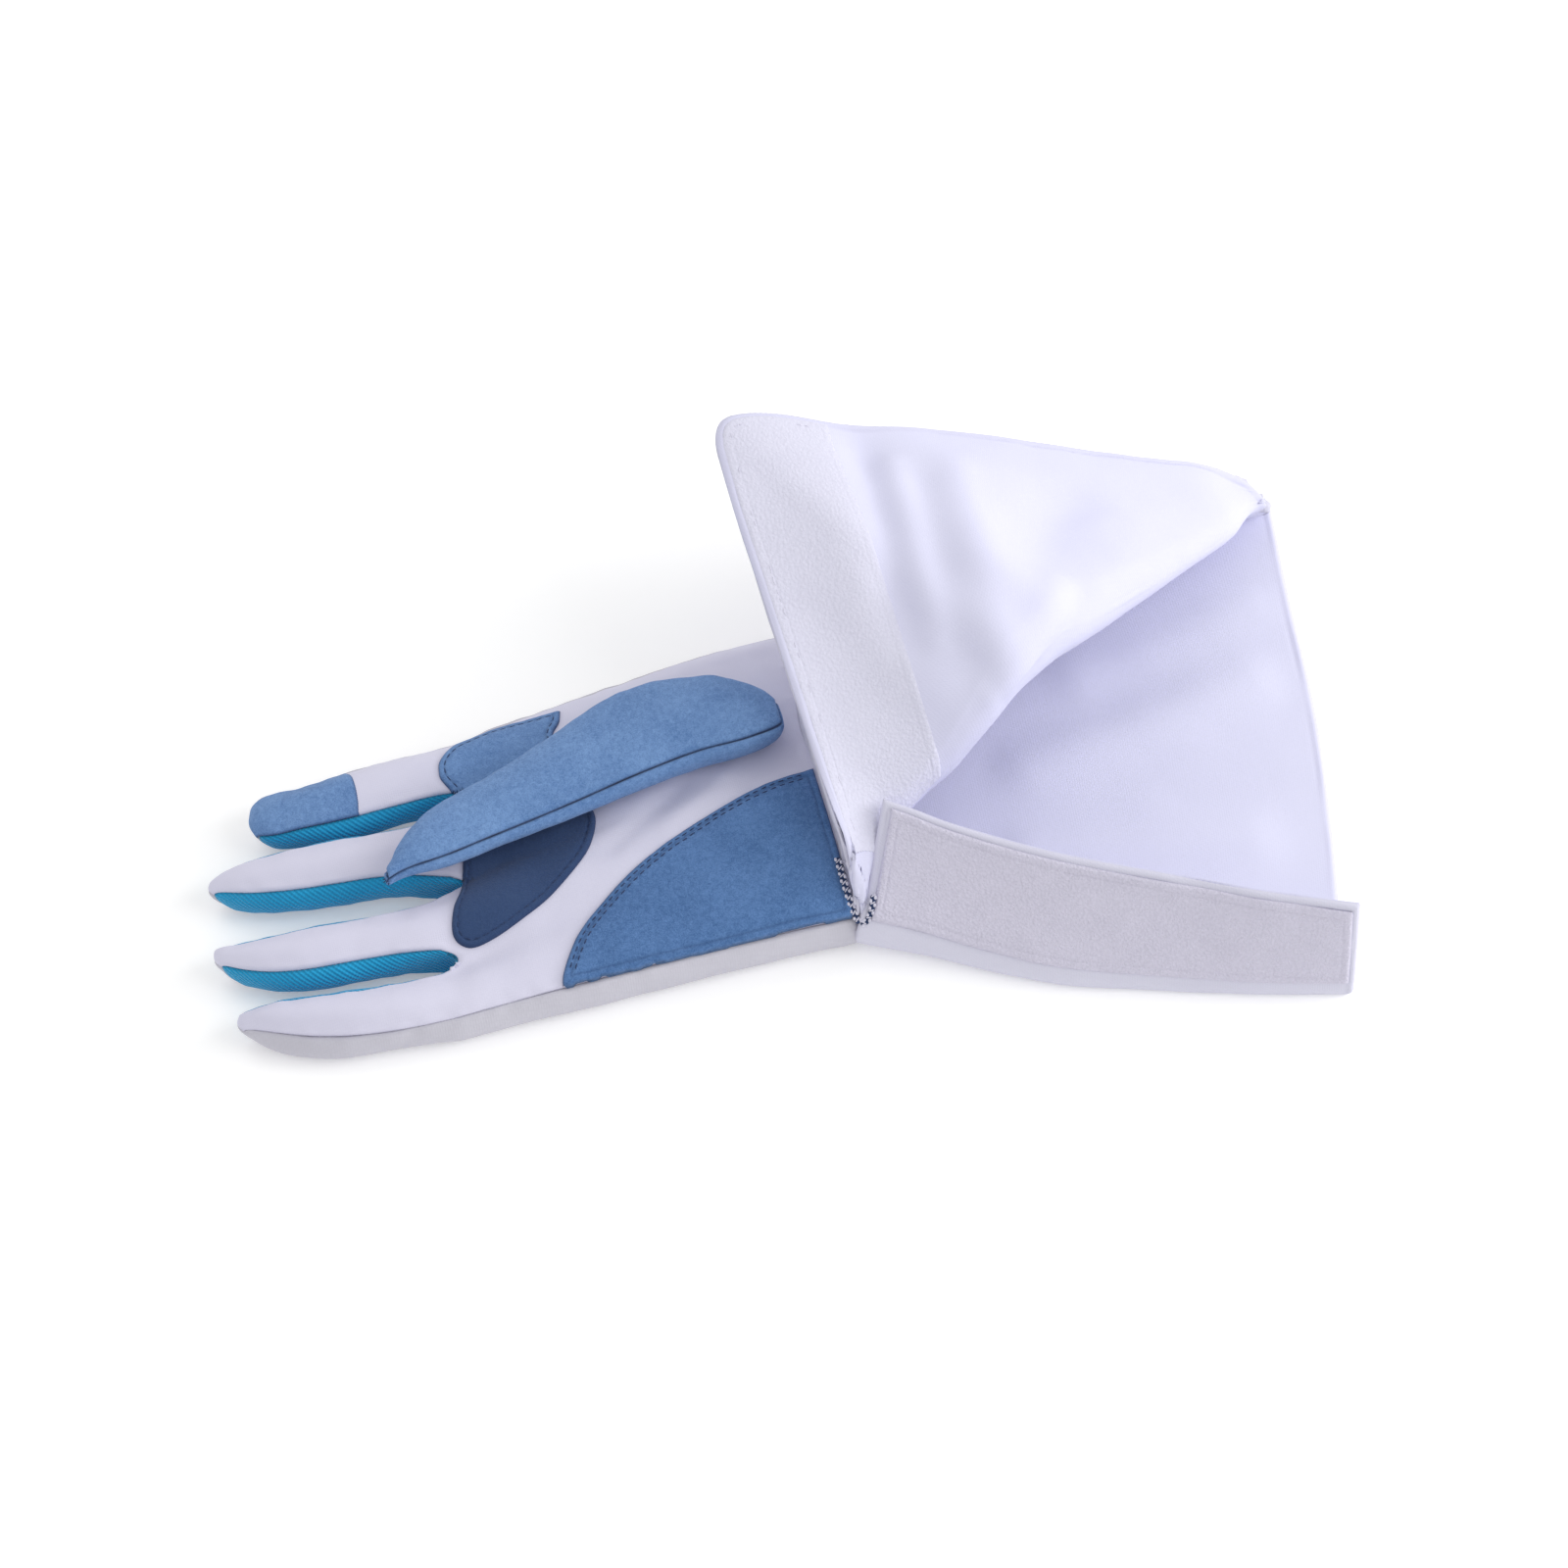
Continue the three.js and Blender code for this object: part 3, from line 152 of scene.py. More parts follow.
# Rows of the thumb from its tip: along, near, far, lift, depth, crown
THUMB_ROWS = [
    (0.000, -0.698, -0.590, 0.730, 0.22, 0.30),
    (0.025, -0.680, -0.470, 0.735, 0.25, 0.55),
    (0.070, -0.665, -0.270, 0.745, 0.38, 0.80),
    (0.145, -0.655, -0.060, 0.760, 0.48, 0.95),
    (0.245, -0.590, 0.060, 0.785, 0.54, 1.00),
    (0.375, -0.510, 0.260, 0.820, 0.60, 1.00),
    (0.500, -0.420, 0.470, 0.850, 0.68, 1.00),
    (0.600, -0.345, 0.620, 0.880, 0.80, 1.00),
    (0.690, -0.285, 0.690, 0.905, 0.92, 1.00),
    (0.780, -0.230, 0.670, 0.930, 1.00, 0.95),
    (0.860, -0.215, 0.600, 0.955, 1.00, 0.85),
    (0.925, -0.180, 0.450, 0.980, 0.92, 0.72),
    (0.965, -0.130, 0.300, 0.992, 0.78, 0.52),
    (0.985, -0.070, 0.180, 1.000, 0.50, 0.25),
]

# Underlap of the cuff: along, out, low, foot, lean, top, skew
UNDERLAP_ROWS = [
    (0.00, -0.004, 0.170, 0.340, 0.790, 0.960, 0.42),
    (0.07, 0.022, 0.130, 0.310, 0.755, 0.970, 0.37),
    (0.15, 0.050, 0.090, 0.270, 0.710, 0.975, 0.28),
    (0.25, 0.092, 0.065, 0.210, 0.680, 0.975, 0.23),
    (0.36, 0.135, 0.055, 0.165, 0.660, 0.975, 0.16),
    (0.50, 0.172, 0.050, 0.135, 0.580, 0.980, 0.10),
    (0.64, 0.206, 0.050, 0.120, 0.490, 0.985, 0.06),
    (0.80, 0.245, 0.050, 0.120, 0.370, 1.000, 0.03),
    (0.91, 0.266, 0.050, 0.120, 0.290, 1.000, 0.02),
    (1.00, 0.281, 0.050, 0.120, 0.215, 1.000, 0.02),
]

# Crease of the cuff: along, height, radius, inset
CREASE_ROWS = [
    (0.00, 0.395, 0.29, 0.00),
    (0.05, 0.420, 0.30, 0.32),
    (0.12, 0.450, 0.34, 0.62),
    (0.19, 0.530, 0.50, 0.56),
    (0.24, 0.620, 0.64, 0.38),
    (0.30, 0.810, 0.80, 0.18),
    (0.37, 0.970, 1.00, 0.00),
    (0.46, 0.950, 1.00, 0.00),
    (0.60, 0.740, 0.84, 0.00),
    (0.75, 0.560, 0.62, 0.00),
    (0.87, 0.420, 0.45, 0.00),
    (0.95, 0.345, 0.36, 0.00),
    (1.00, 0.315, 0.32, 0.00),
]
EDGE_HEIGHTS = [(0.0, 0.300), (0.08, 0.345), (0.25, 0.440), (0.5, 0.635), (0.75, 0.825), (1.0, 1.0)]
RIM_HEIGHTS = [(0.0, 1.0), (0.3, 0.815), (0.57, 0.630), (0.79, 0.455), (0.93, 0.310), (1.0, 0.245)]

# Soft folds on the flap: t1, q1, t2, q2, depth, width
FLAP_FOLDS = [
    (0.52, 0.95, 0.36, 0.30, -1.0, 0.085),
    (0.58, 0.70, 0.46, 0.10, 0.8, 0.080),
    (0.66, 0.45, 0.50, 0.05, -0.9, 0.070),
]


def mix(a, b, share):
    return a * (1 - share) + b * share


# One at a place, fading to nothing over the spread along each axis
def nearness(p, place, spread):
    gap = Vector([(a - b) / c for a, b, c in zip(p, place, spread)])
    return math.exp(-gap.length_squared)


def read_table(rows, column, along):
    if along <= rows[0][0]:
        return rows[0][column]
    if along >= rows[-1][0]:
        return rows[-1][column]
    i = 0
    while along > rows[i + 1][0]:
        i += 1
    share = (along - rows[i][0]) / (rows[i + 1][0] - rows[i][0])
    return mix(rows[i][column], rows[i + 1][column], share)


# Cloth surfaces: coarse skins, smoothed so that they pass through their points


class Skin:
    def __init__(self):
        self.points = []
        self.faces = []
        self.panels = []
        self.cloth = []

    def point(self, x, y, z):
        self.points.append(Vector((x, y, z)))
        return len(self.points) - 1

    def quad(self, panel, ids, cloth=((0, 0), (0, 0), (0, 0), (0, 0))):
        kept, places = [], []
        for i, place in zip(ids, cloth):
            if i not in kept:
                kept.append(i)
                places.append(place)
        if len(kept) > 2:
            self.faces.append(kept)
            self.panels.append(panel)
            self.cloth.append(places)


def smooth_skin(skin, levels):
    mesh = bpy.data.meshes.new("skin")
    mesh.from_pydata([p[:] for p in skin.points], [], skin.faces)
    mesh.polygons.foreach_set("material_index", skin.panels)
    flat = mesh.uv_layers.new(name="cloth")
    for poly, places in zip(mesh.polygons, skin.cloth):
        for loop, place in zip(poly.loop_indices, places):
            flat.data[loop].uv = place
    obj = bpy.data.objects.new("skin", mesh)
    bpy.context.scene.collection.objects.link(obj)
    smooth = obj.modifiers.new("smooth", "SUBSURF")
    smooth.levels = smooth.render_levels = 1
    smooth.boundary_smooth = "PRESERVE_CORNERS"
    cage = [p.copy() for p in skin.points]
    for _ in range(3):
        mesh.vertices.foreach_set("co", [c for p in cage for c in p])
        mesh.update()
        graph = bpy.context.evaluated_depsgraph_get()
        graph.update()
        shown = obj.evaluated_get(graph).to_mesh()
        for i, p in enumerate(skin.points):
            cage[i] += (p - shown.vertices[i].co) * 0.85
    mesh.vertices.foreach_set("co", [c for p in cage for c in p])
    smooth.levels = smooth.render_levels = levels
    mesh.update()
    graph = bpy.context.evaluated_depsgraph_get()
    graph.update()
    bm = bmesh.new()
    bm.from_mesh(obj.evaluated_get(graph).to_mesh())
    bpy.data.objects.remove(obj)
    bpy.data.meshes.remove(mesh)
    bm.verts.layers.float_vector.new("out")
    bm.verts.layers.float.new("seam")
    return bm


def keep_normals(bm):
    bm.normal_update()
    out = bm.verts.layers.float_vector["out"]
    for v in bm.verts:
        v[out] = v.normal


def seam_tree(bm):
    seam = set()
    for e in bm.edges:
        panels = {f.material_index for f in e.link_faces}
        if len(panels) > 1 or e.is_boundary:
            seam.update(e.verts)
    tree = KDTree(len(seam))
    for i, v in enumerate(seam):
        tree.insert(v.co, i)
    tree.balance()
    return tree


def fold_lift(p, folds):
    lift = 0
    for a, b, depth, width in folds:
        way = b - a
        share = min(1, max(0, (p - a).dot(way) / way.length_squared))
        gap = (p - a - way * share).length
        lift += depth * math.exp(-((gap / width) ** 2))
    return lift


# Soft unevenness of sewn cloth: wide waves, and puckers that fade away from the seams
def soften(bm, wide, wide_scale, pucker, pucker_scale, reach, folds=(), seed=0.0):
    tree = seam_tree(bm)
    keep_normals(bm)
    out = bm.verts.layers.float_vector["out"]
    moves = []
    shift = Vector((seed, seed * 0.7, -seed))
    for v in bm.verts:
        gap = tree.find(v.co)[2]
        lift = wide * noise.noise(v.co / wide_scale + shift)
        lift += wide * 0.35 * noise.noise(v.co / (wide_scale * 0.4) - shift)
        near = math.exp(-gap / reach)
        lift += pucker * near * noise.noise(v.co / pucker_scale + shift * 2)
        lift *= min(1, gap / 1.5 + 0.15)
        moves.append(v[out] * (lift + fold_lift(v.co, folds)))
    for v, move in zip(bm.verts, moves):
        v.co += move
    keep_normals(bm)


def take_panel(bm, *panels):
    part = bm.copy()
    rest = [f for f in part.faces if f.material_index not in panels]
    bmesh.ops.delete(part, geom=rest, context="FACES")
    return part


def shift_out(part, distance):
    out = part.verts.layers.float_vector["out"]
    for v in part.verts:
        v.co += v[out] * distance


# Distance to a panel's edge, from points set close together along it
def edge_tree(part, choose=None):
    places = []
    for e in part.edges:
        if e.is_boundary and (choose is None or choose(e)):
            a, b = (v.co for v in e.verts)
            count = max(1, round((b - a).length / 0.2))
            places.extend(a.lerp(b, k / count) for k in range(count + 1))
    tree = KDTree(len(places))
    for i, p in enumerate(places):
        tree.insert(p, i)
    tree.balance()
    return tree


# Finer faces beside a panel's edge, shaped by a profile: distance in, move outward, seam tone (painted shade of the
# turned edge and of the stitch groove).
# Spared places keep a plain surface beyond the turned edge itself.
TURNED_EDGE = 1.2


def dress_edge(part, profile, cuts=1, spared=()):
    tree = edge_tree(part)
    reach = profile[-1][0]
    near = {v for v in part.verts if tree.find(v.co)[2] < reach}
    edges = [e for e in part.edges if e.verts[0] in near and e.verts[1] in near]
    bmesh.ops.subdivide_edges(part, edges=edges, cuts=cuts, use_grid_fill=True)
    out = part.verts.layers.float_vector["out"]
    seam = part.verts.layers.float["seam"]
    for v in part.verts:
        gap = tree.find(v.co)[2]
        if gap < reach:
            share = 1.0
            if gap > TURNED_EDGE:
                share = min([1.0, *(max(0, (v.co - p).length / r - 0.6) for p, r in spared)])
            v.co += v[out] * read_table(profile, 1, gap) * share
            v[seam] = read_table(profile, 2, gap) * share


# Smooth away small creases near a place
def iron(part, place, reach, rounds, low):
    near = [(v, (v.co - place).length / reach) for v in part.verts if v.co.z > low and (v.co - place).length < reach]
    for k in range(rounds):
        verts = [v for v, share in near if share < 1 - 0.4 * k / rounds]
        bmesh.ops.smooth_vert(part, verts=verts, factor=0.5, use_axis_x=True, use_axis_y=True, use_axis_z=True)


# Cut a panel along the line where a measure passes zero, and keep the part above it
def cut_where(part, measure):
    level = {v: measure(v.co) for v in part.verts}
    fresh = []
    for e in part.edges[:]:
        a, b = e.verts
        if (level[a] > 0) != (level[b] > 0):
            share = min(0.98, max(0.02, level[a] / (level[a] - level[b])))
            v = bmesh.utils.edge_split(e, a, share)[1]
            level[v] = 0.0
            fresh.append(v)
    bmesh.ops.connect_verts(part, verts=fresh)
    rest = [f for f in part.faces if sum(level[v] for v in f.verts) < 0]
    bmesh.ops.delete(part, geom=rest, context="FACES")


def make_piece(name, bm, material, nodes=(), wall=0.0):
    for v in bm.verts:
        v.co.z = max(v.co.z, 0.0)
        v.co = (v.co + PLACE) * 0.001
    mesh = bpy.data.meshes.new(name)
    for f in bm.faces:
        f.smooth = True
        f.material_index = 0
    bm.to_mesh(mesh)
    bm.free()
    mesh.materials.append(material)
    obj = bpy.data.objects.new(name, mesh)
    bpy.context.scene.collection.objects.link(obj)
    if wall:
        thick = obj.modifiers.new("wall", "SOLIDIFY")
        thick.thickness = wall * 0.001
        thick.offset = -1
        thick.use_even_offset = False
    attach(obj, "root")
    if nodes:
        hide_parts(*nodes)
    return obj


# Materials


def node(tree, kind, **values):
    made = tree.nodes.new(kind)
    for key, value in values.items():
        setattr(made, key, value)
    return made


def maths(tree, operation, a, b=None, c=None, clamp=False):
    made = node(tree, "ShaderNodeMath", operation=operation, use_clamp=clamp)
    for socket, value in zip(made.inputs, (a, b, c)):
        if value is None:
            continue
        if isinstance(value, (int, float)):
            socket.default_value = value
        else:
            tree.links.new(value, socket)
    return made.outputs[0]


def group(name, inputs, outputs):
    tree = bpy.data.node_groups.new(name, "ShaderNodeTree")
    for label, kind, value in inputs:
        socket = tree.interface.new_socket(name=label, in_out="INPUT", socket_type=kind)
        if value is not None:
            socket.default_value = value
    for label, kind in outputs:
        tree.interface.new_socket(name=label, in_out="OUTPUT", socket_type=kind)
    start = tree.nodes.new("NodeGroupInput")
    end = tree.nodes.new("NodeGroupOutput")
    return tree, start, end


VALUE = "NodeSocketFloat"
VECTOR = "NodeSocketVector"


def noise_node(tree, vector, scale, detail=2.0, roughness=0.5, distortion=0.0):
    made = node(tree, "ShaderNodeTexNoise")
    tree.links.new(vector, made.inputs["Vector"])
    if isinstance(scale, (int, float)):
        made.inputs["Scale"].default_value = scale
    else:
        tree.links.new(scale, made.inputs["Scale"])
    made.inputs["Detail"].default_value = detail
    made.inputs["Roughness"].default_value = roughness
    made.inputs["Distortion"].default_value = distortion
    return made.outputs["Fac"]


def remap(tree, value, low, high, to_low=0.0, to_high=1.0):
    made = node(tree, "ShaderNodeMapRange", clamp=True)
    tree.links.new(value, made.inputs["Value"])
    made.inputs["From Min"].default_value = low
    made.inputs["From Max"].default_value = high
    made.inputs["To Min"].default_value = to_low
    made.inputs["To Max"].default_value = to_high
    return made.outputs["Result"]


# Plain weave: threads over and under each other, with uneven thickness
def build_weave():
    tree, start, end = group(
        "plain_weave",
        [("Vector", VECTOR, None), ("Threads", VALUE, 1400.0), ("Unevenness", VALUE, 0.25)],
        [("Height", VALUE), ("Gaps", VALUE)],
    )
    vector = start.outputs["Vector"]
    jitter = noise_node(tree, vector, 260.0, 2.0)
    parts = node(tree, "ShaderNodeSeparateXYZ")
    tree.links.new(vector, parts.inputs[0])
    wobble = maths(tree, "MULTIPLY", maths(tree, "SUBTRACT", jitter, 0.5), start.outputs["Unevenness"])
    angles = []
    for axis in (0, 1):
        turns = maths(tree, "MULTIPLY", parts.outputs[axis], start.outputs["Threads"])
        turns = maths(tree, "ADD", turns, wobble)
        angles.append(maths(tree, "MULTIPLY", turns, math.pi))
    over = maths(tree, "MULTIPLY", maths(tree, "SINE", angles[0]), maths(tree, "SINE", angles[1]))
    crown = maths(tree, "ABSOLUTE", over)
    height = maths(tree, "ADD", maths(tree, "MULTIPLY", over, 0.35), maths(tree, "POWER", crown, 0.5))
    tree.links.new(height, end.inputs["Height"])
    tree.links.new(remap(tree, crown, 0.0, 0.5, 1.0, 0.0), end.inputs["Gaps"])
    return tree


# Uneven tone of handled cloth: large soft clouds and small specks
def build_clouds():
    tree, start, end = group(
        "uneven_tone",
        [("Vector", VECTOR, None), ("Cloud scale", VALUE, 30.0), ("Speck scale", VALUE, 900.0)],
        [("Clouds", VALUE), ("Specks", VALUE)],
    )
    vector = start.outputs["Vector"]
    clouds = noise_node(tree, vector, start.outputs["Cloud scale"], 4.0, 0.55)
    specks = noise_node(tree, vector, start.outputs["Speck scale"], 3.0, 0.6)
    tree.links.new(remap(tree, clouds, 0.32, 0.68), end.inputs["Clouds"])
    tree.links.new(remap(tree, specks, 0.3, 0.7), end.inputs["Specks"])
    return tree


# Nap of suede: short fibres brushed in patches
def build_nap():
    tree, start, end = group(
        "suede_nap",
        [("Vector", VECTOR, None), ("Fibre scale", VALUE, 1500.0), ("Patch scale", VALUE, 330.0)],
        [("Height", VALUE), ("Tone", VALUE)],
    )
    vector = start.outputs["Vector"]
    fibres = noise_node(tree, vector, start.outputs["Fibre scale"], 3.0, 0.7, 0.4)
    patches = noise_node(tree, vector, start.outputs["Patch scale"], 4.0, 0.65, 0.6)
    brushed = noise_node(tree, vector, 55.0, 3.0, 0.5)
    fine = remap(tree, fibres, 0.3, 0.7)
    middle = remap(tree, patches, 0.33, 0.67)
    wide = remap(tree, brushed, 0.35, 0.65)
    tone = maths(tree, "ADD", maths(tree, "MULTIPLY", fine, 0.5), maths(tree, "MULTIPLY", middle, 0.32))
    tone = maths(tree, "ADD", tone, maths(tree, "MULTIPLY", wide, 0.18))
    height = maths(tree, "ADD", maths(tree, "MULTIPLY", fine, 0.6), maths(tree, "MULTIPLY", middle, 0.5))
    tree.links.new(height, end.inputs["Height"])
    tree.links.new(tone, end.inputs["Tone"])
    return tree


# Darker line where an edge is turned into its seam and along sunk stitch rows: painted shade of these grooves,
# partly also the seam's own darker line
def build_seam_shade():
    tree, start, end = group("seam_shade", [("Strength", VALUE, 0.5)], [("Mask", VALUE)])
    seam = node(tree, "ShaderNodeAttribute", attribute_name="seam")
    mask = maths(tree, "MULTIPLY", seam.outputs["Fac"], start.outputs["Strength"], clamp=True)
    tree.links.new(mask, end.inputs["Mask"])
    return tree


WEAVE = build_weave()
CLOUDS = build_clouds()
NAP = build_nap()
SEAM_SHADE = build_seam_shade()


def new_material(name, roughness, sheen=0.0, specular=0.25, sheen_roughness=0.5):
    material = bpy.data.materials.new(name)
    material.use_nodes = True
    tree = material.node_tree
    shader = tree.nodes["Principled BSDF"]
    shader.inputs["Roughness"].default_value = roughness
    shader.inputs["Specular IOR Level"].default_value = specular
    shader.inputs["Sheen Weight"].default_value = sheen
    shader.inputs["Sheen Roughness"].default_value = sheen_roughness
    return material, tree, shader


def place_group(tree, kind, **values):
    made = node(tree, "ShaderNodeGroup", node_tree=kind)
    for key, value in values.items():
        label = key.replace("_", " ")
        if isinstance(value, (int, float)):
            made.inputs[label].default_value = value
        else:
            tree.links.new(value, made.inputs[label])
    return made


def colour_mix(tree, factor, a, b):
    made = node(tree, "ShaderNodeMix", data_type="RGBA")
    if isinstance(factor, (int, float)):
        made.inputs[0].default_value = factor
    else:
        tree.links.new(factor, made.inputs[0])
    for socket, value in ((made.inputs[6], a), (made.inputs[7], b)):
        if isinstance(value, tuple):
            socket.default_value = (*value, 1.0)
        else:
            tree.links.new(value, socket)
    return made.outputs[2]


def object_place(tree):
    return node(tree, "ShaderNodeTexCoord").outputs["Object"]


def cloth_place(tree):
    return node(tree, "ShaderNodeUVMap", uv_map="cloth").outputs["UV"]


def bump(tree, shader, height, strength, distance):
    made = node(tree, "ShaderNodeBump")
    made.inputs["Strength"].default_value = strength
    made.inputs["Distance"].default_value = distance
    tree.links.new(height, made.inputs["Height"])
    tree.links.new(made.outputs["Normal"], shader.inputs["Normal"])


# Pale woven cloth of the hand and the cuff
def woven_cloth(name, light, shade, line, roughness, sheen, threads, relief, by_cloth):
    material, tree, shader = new_material(name, roughness, sheen)
    where = object_place(tree)
    weave = place_group(
        tree, WEAVE, Vector=cloth_place(tree) if by_cloth else where, Threads=threads, Unevenness=0.5
    )
    tone = place_group(tree, CLOUDS, Vector=where, Cloud_scale=24.0, Speck_scale=700.0)
    dark = maths(tree, "MULTIPLY", weave.outputs["Gaps"], 0.18)
    dark = maths(tree, "ADD", dark, maths(tree, "MULTIPLY", tone.outputs["Clouds"], 0.45))
    dark = maths(tree, "ADD", dark, maths(tree, "MULTIPLY", tone.outputs["Specks"], 0.12), clamp=True)
    colour = colour_mix(tree, dark, light, shade)
    # Painted shade along the seams and stitch grooves, toward the line colour
    seam = place_group(tree, SEAM_SHADE, Strength=0.6)
    colour = colour_mix(tree, seam.outputs["Mask"], colour, line)
    tree.links.new(colour, shader.inputs["Base Color"])
    height = maths(tree, "ADD", weave.outputs["Height"], maths(tree, "MULTIPLY", tone.outputs["Specks"], 0.5))
    bump(tree, shader, height, relief, 0.0003)
    return material


# Suede darkened toward a deep blue where the thumb overhangs it: painted shadow of the thumb
THUMB_SHADE_COLOUR = (0.02, 0.044, 0.125)


def suede(name, light, dark, line):
    material, tree, shader = new_material(name, 0.92, 0.12, 0.15, 0.6)
    where = object_place(tree)
    nap = place_group(tree, NAP, Vector=where, Fibre_scale=2300.0, Patch_scale=620.0)
    colour = colour_mix(tree, remap(tree, nap.outputs["Tone"], 0.22, 0.78), dark, light)
    # This attribute paints the thumb's shadow into the suede's colour
    thumb_shade = node(tree, "ShaderNodeAttribute", attribute_name="thumb_shade").outputs["Fac"]
    colour = colour_mix(tree, maths(tree, "MULTIPLY", thumb_shade, 0.9, clamp=True), colour, THUMB_SHADE_COLOUR)
    # Painted shade along the seams, toward the line colour
    seam = place_group(tree, SEAM_SHADE, Strength=1.0)
    colour = colour_mix(tree, seam.outputs["Mask"], colour, line)
    tree.links.new(colour, shader.inputs["Base Color"])
    bump(tree, shader, nap.outputs["Height"], 0.55, 0.0004)
    return material


# Teal knit with ribs that run aslant over the strip
def rib_knit(name, light, dark):
    material, tree, shader = new_material(name, 0.8, 0.25, 0.2)
    turn = node(tree, "ShaderNodeMapping")
    turn.inputs["Rotation"].default_value = (0, 0, math.radians(38))
    tree.links.new(cloth_place(tree), turn.inputs["Vector"])
    parts = node(tree, "ShaderNodeSeparateXYZ")
    tree.links.new(turn.outputs["Vector"], parts.inputs[0])
    rib = maths(tree, "SINE", maths(tree, "MULTIPLY", parts.outputs["Y"], 2 * math.pi / 0.0011))
    loops = maths(tree, "SINE", maths(tree, "MULTIPLY", parts.outputs["X"], 2 * math.pi / 0.0009))
    height = maths(tree, "ADD", rib, maths(tree, "MULTIPLY", loops, 0.35))
    tone = place_group(tree, CLOUDS, Vector=object_place(tree), Cloud_scale=60.0, Speck_scale=1200.0)
    clouds = maths(tree, "MULTIPLY", tone.outputs["Clouds"], 0.25)
    depth = maths(tree, "ADD", remap(tree, height, -1.3, 1.3, 0.0, 0.75), clouds)
    # Painted shade at the seams, where the white cloth's edge overhangs the knit
    seam = place_group(tree, SEAM_SHADE, Strength=0.8)
    colour = colour_mix(tree, depth, dark, light)
    colour = colour_mix(tree, seam.outputs["Mask"], colour, tuple(c * 0.35 for c in dark))
    tree.links.new(colour, shader.inputs["Base Color"])
    bump(tree, shader, height, 0.6, 0.0003)
    return material


# Brushed loops or small hooks: a felted pile with bright and dark specks
def pile(name, light, dark, tuft_scale, relief, sheen):
    material, tree, shader = new_material(name, 0.9, sheen, 0.2)
    where = object_place(tree)
    tufts = node(tree, "ShaderNodeTexVoronoi", feature="F1")
    tufts.inputs["Scale"].default_value = tuft_scale
    tufts.inputs["Randomness"].default_value = 1.0
    warp = noise_node(tree, where, tuft_scale * 0.6, 3.0, 0.7)
    push = node(tree, "ShaderNodeVectorMath", operation="SCALE")
    tree.links.new(where, push.inputs[0])
    spread = maths(tree, "ADD", maths(tree, "MULTIPLY", warp, 0.02), 1.0)
    tree.links.new(spread, push.inputs["Scale"])
    tree.links.new(push.outputs[0], tufts.inputs["Vector"])
    tone = place_group(tree, CLOUDS, Vector=where, Cloud_scale=90.0, Speck_scale=tuft_scale * 1.3)
    bright = remap(tree, tufts.outputs["Distance"], 0.1, 0.8, 1.0, 0.0)
    specks = maths(tree, "MULTIPLY", tone.outputs["Specks"], 0.35)
    level = maths(tree, "ADD", maths(tree, "MULTIPLY", bright, 0.4), specks)
    level = maths(tree, "ADD", level, maths(tree, "MULTIPLY", tone.outputs["Clouds"], 0.25), clamp=True)
    colour = colour_mix(tree, level, dark, light)
    tree.links.new(colour, shader.inputs["Base Color"])
    height = maths(tree, "ADD", bright, maths(tree, "MULTIPLY", tone.outputs["Specks"], 0.8))
    bump(tree, shader, height, relief, 0.0005)
    return material


def thread(name, light, dark):
    material, tree, shader = new_material(name, 0.7, 0.2, 0.3)
    where = object_place(tree)
    twist = noise_node(tree, where, 2600.0, 2.0)
    colour = colour_mix(tree, remap(tree, twist, 0.35, 0.65), dark, light)
    tree.links.new(colour, shader.inputs["Base Color"])
    bump(tree, shader, twist, 0.4, 0.0002)
    return material


# The third colour of each cloth and suede is the painted shade of its seams
PALM_CLOTH = woven_cloth(
    "palm_cloth", (0.69, 0.68, 0.815), (0.62, 0.61, 0.75), (0.46, 0.45, 0.57), 0.62, 0.05, 1500.0, 0.12, False
)
BACK_CLOTH = woven_cloth(
    "back_cloth", (0.58, 0.57, 0.64), (0.51, 0.50, 0.57), (0.43, 0.42, 0.50), 0.75, 0.05, 1300.0, 0.22, False
)
CUFF_CLOTH = woven_cloth(
    "cuff_cloth", (0.69, 0.685, 0.80), (0.63, 0.62, 0.74), (0.50, 0.49, 0.61), 0.8, 0.05, 1150.0, 0.2, True
)
LINING_CLOTH = woven_cloth(
    "lining_cloth", (0.70, 0.70, 0.865), (0.655, 0.655, 0.825), (0.54, 0.53, 0.69), 0.85, 0.05, 1250.0, 0.14, True
)
TEAL_KNIT = rib_knit("teal_knit", (0.02, 0.42, 0.75), (0.008, 0.26, 0.51))
BLUE_SUEDE = suede("blue_suede", (0.20, 0.35, 0.64), (0.095, 0.20, 0.435), (0.018, 0.042, 0.125))
DEEP_SUEDE = suede("deep_blue_suede", (0.115, 0.235, 0.49), (0.052, 0.13, 0.31), (0.012, 0.03, 0.10))
LOOP_FELT = pile("loop_felt", (0.72, 0.715, 0.84), (0.66, 0.655, 0.78), 900.0, 0.3, 0.1)
HOOK_TAPE = pile("hook_tape", (0.71, 0.685, 0.815), (0.585, 0.565, 0.68), 1100.0, 0.5, 0.1)
WHITE_THREAD = thread("white_thread", (0.74, 0.73, 0.84), (0.52, 0.51, 0.62))
BLUE_THREAD = thread("blue_thread", (0.02, 0.05, 0.15), (0.006, 0.018, 0.065))

# Hand: palm side, back and the strips between the fingers

PALM, BACK, RING_LITTLE, MIDDLE_RING, INDEX_MIDDLE = range(5)
ULNAR_WRIST = -0.561
RADIAL_WRIST = 0.435
RIDGE_SHARE = (0, 0.72, 1, 0.72, 0)
KEEL = 0.12
LAST_TOP = 22
ROOT_ROW = len(PALM_ROWS)


def hand_x(share):
    return -share * HAND_LENGTH


def hand_y(share):
    return share * HAND_WIDTH


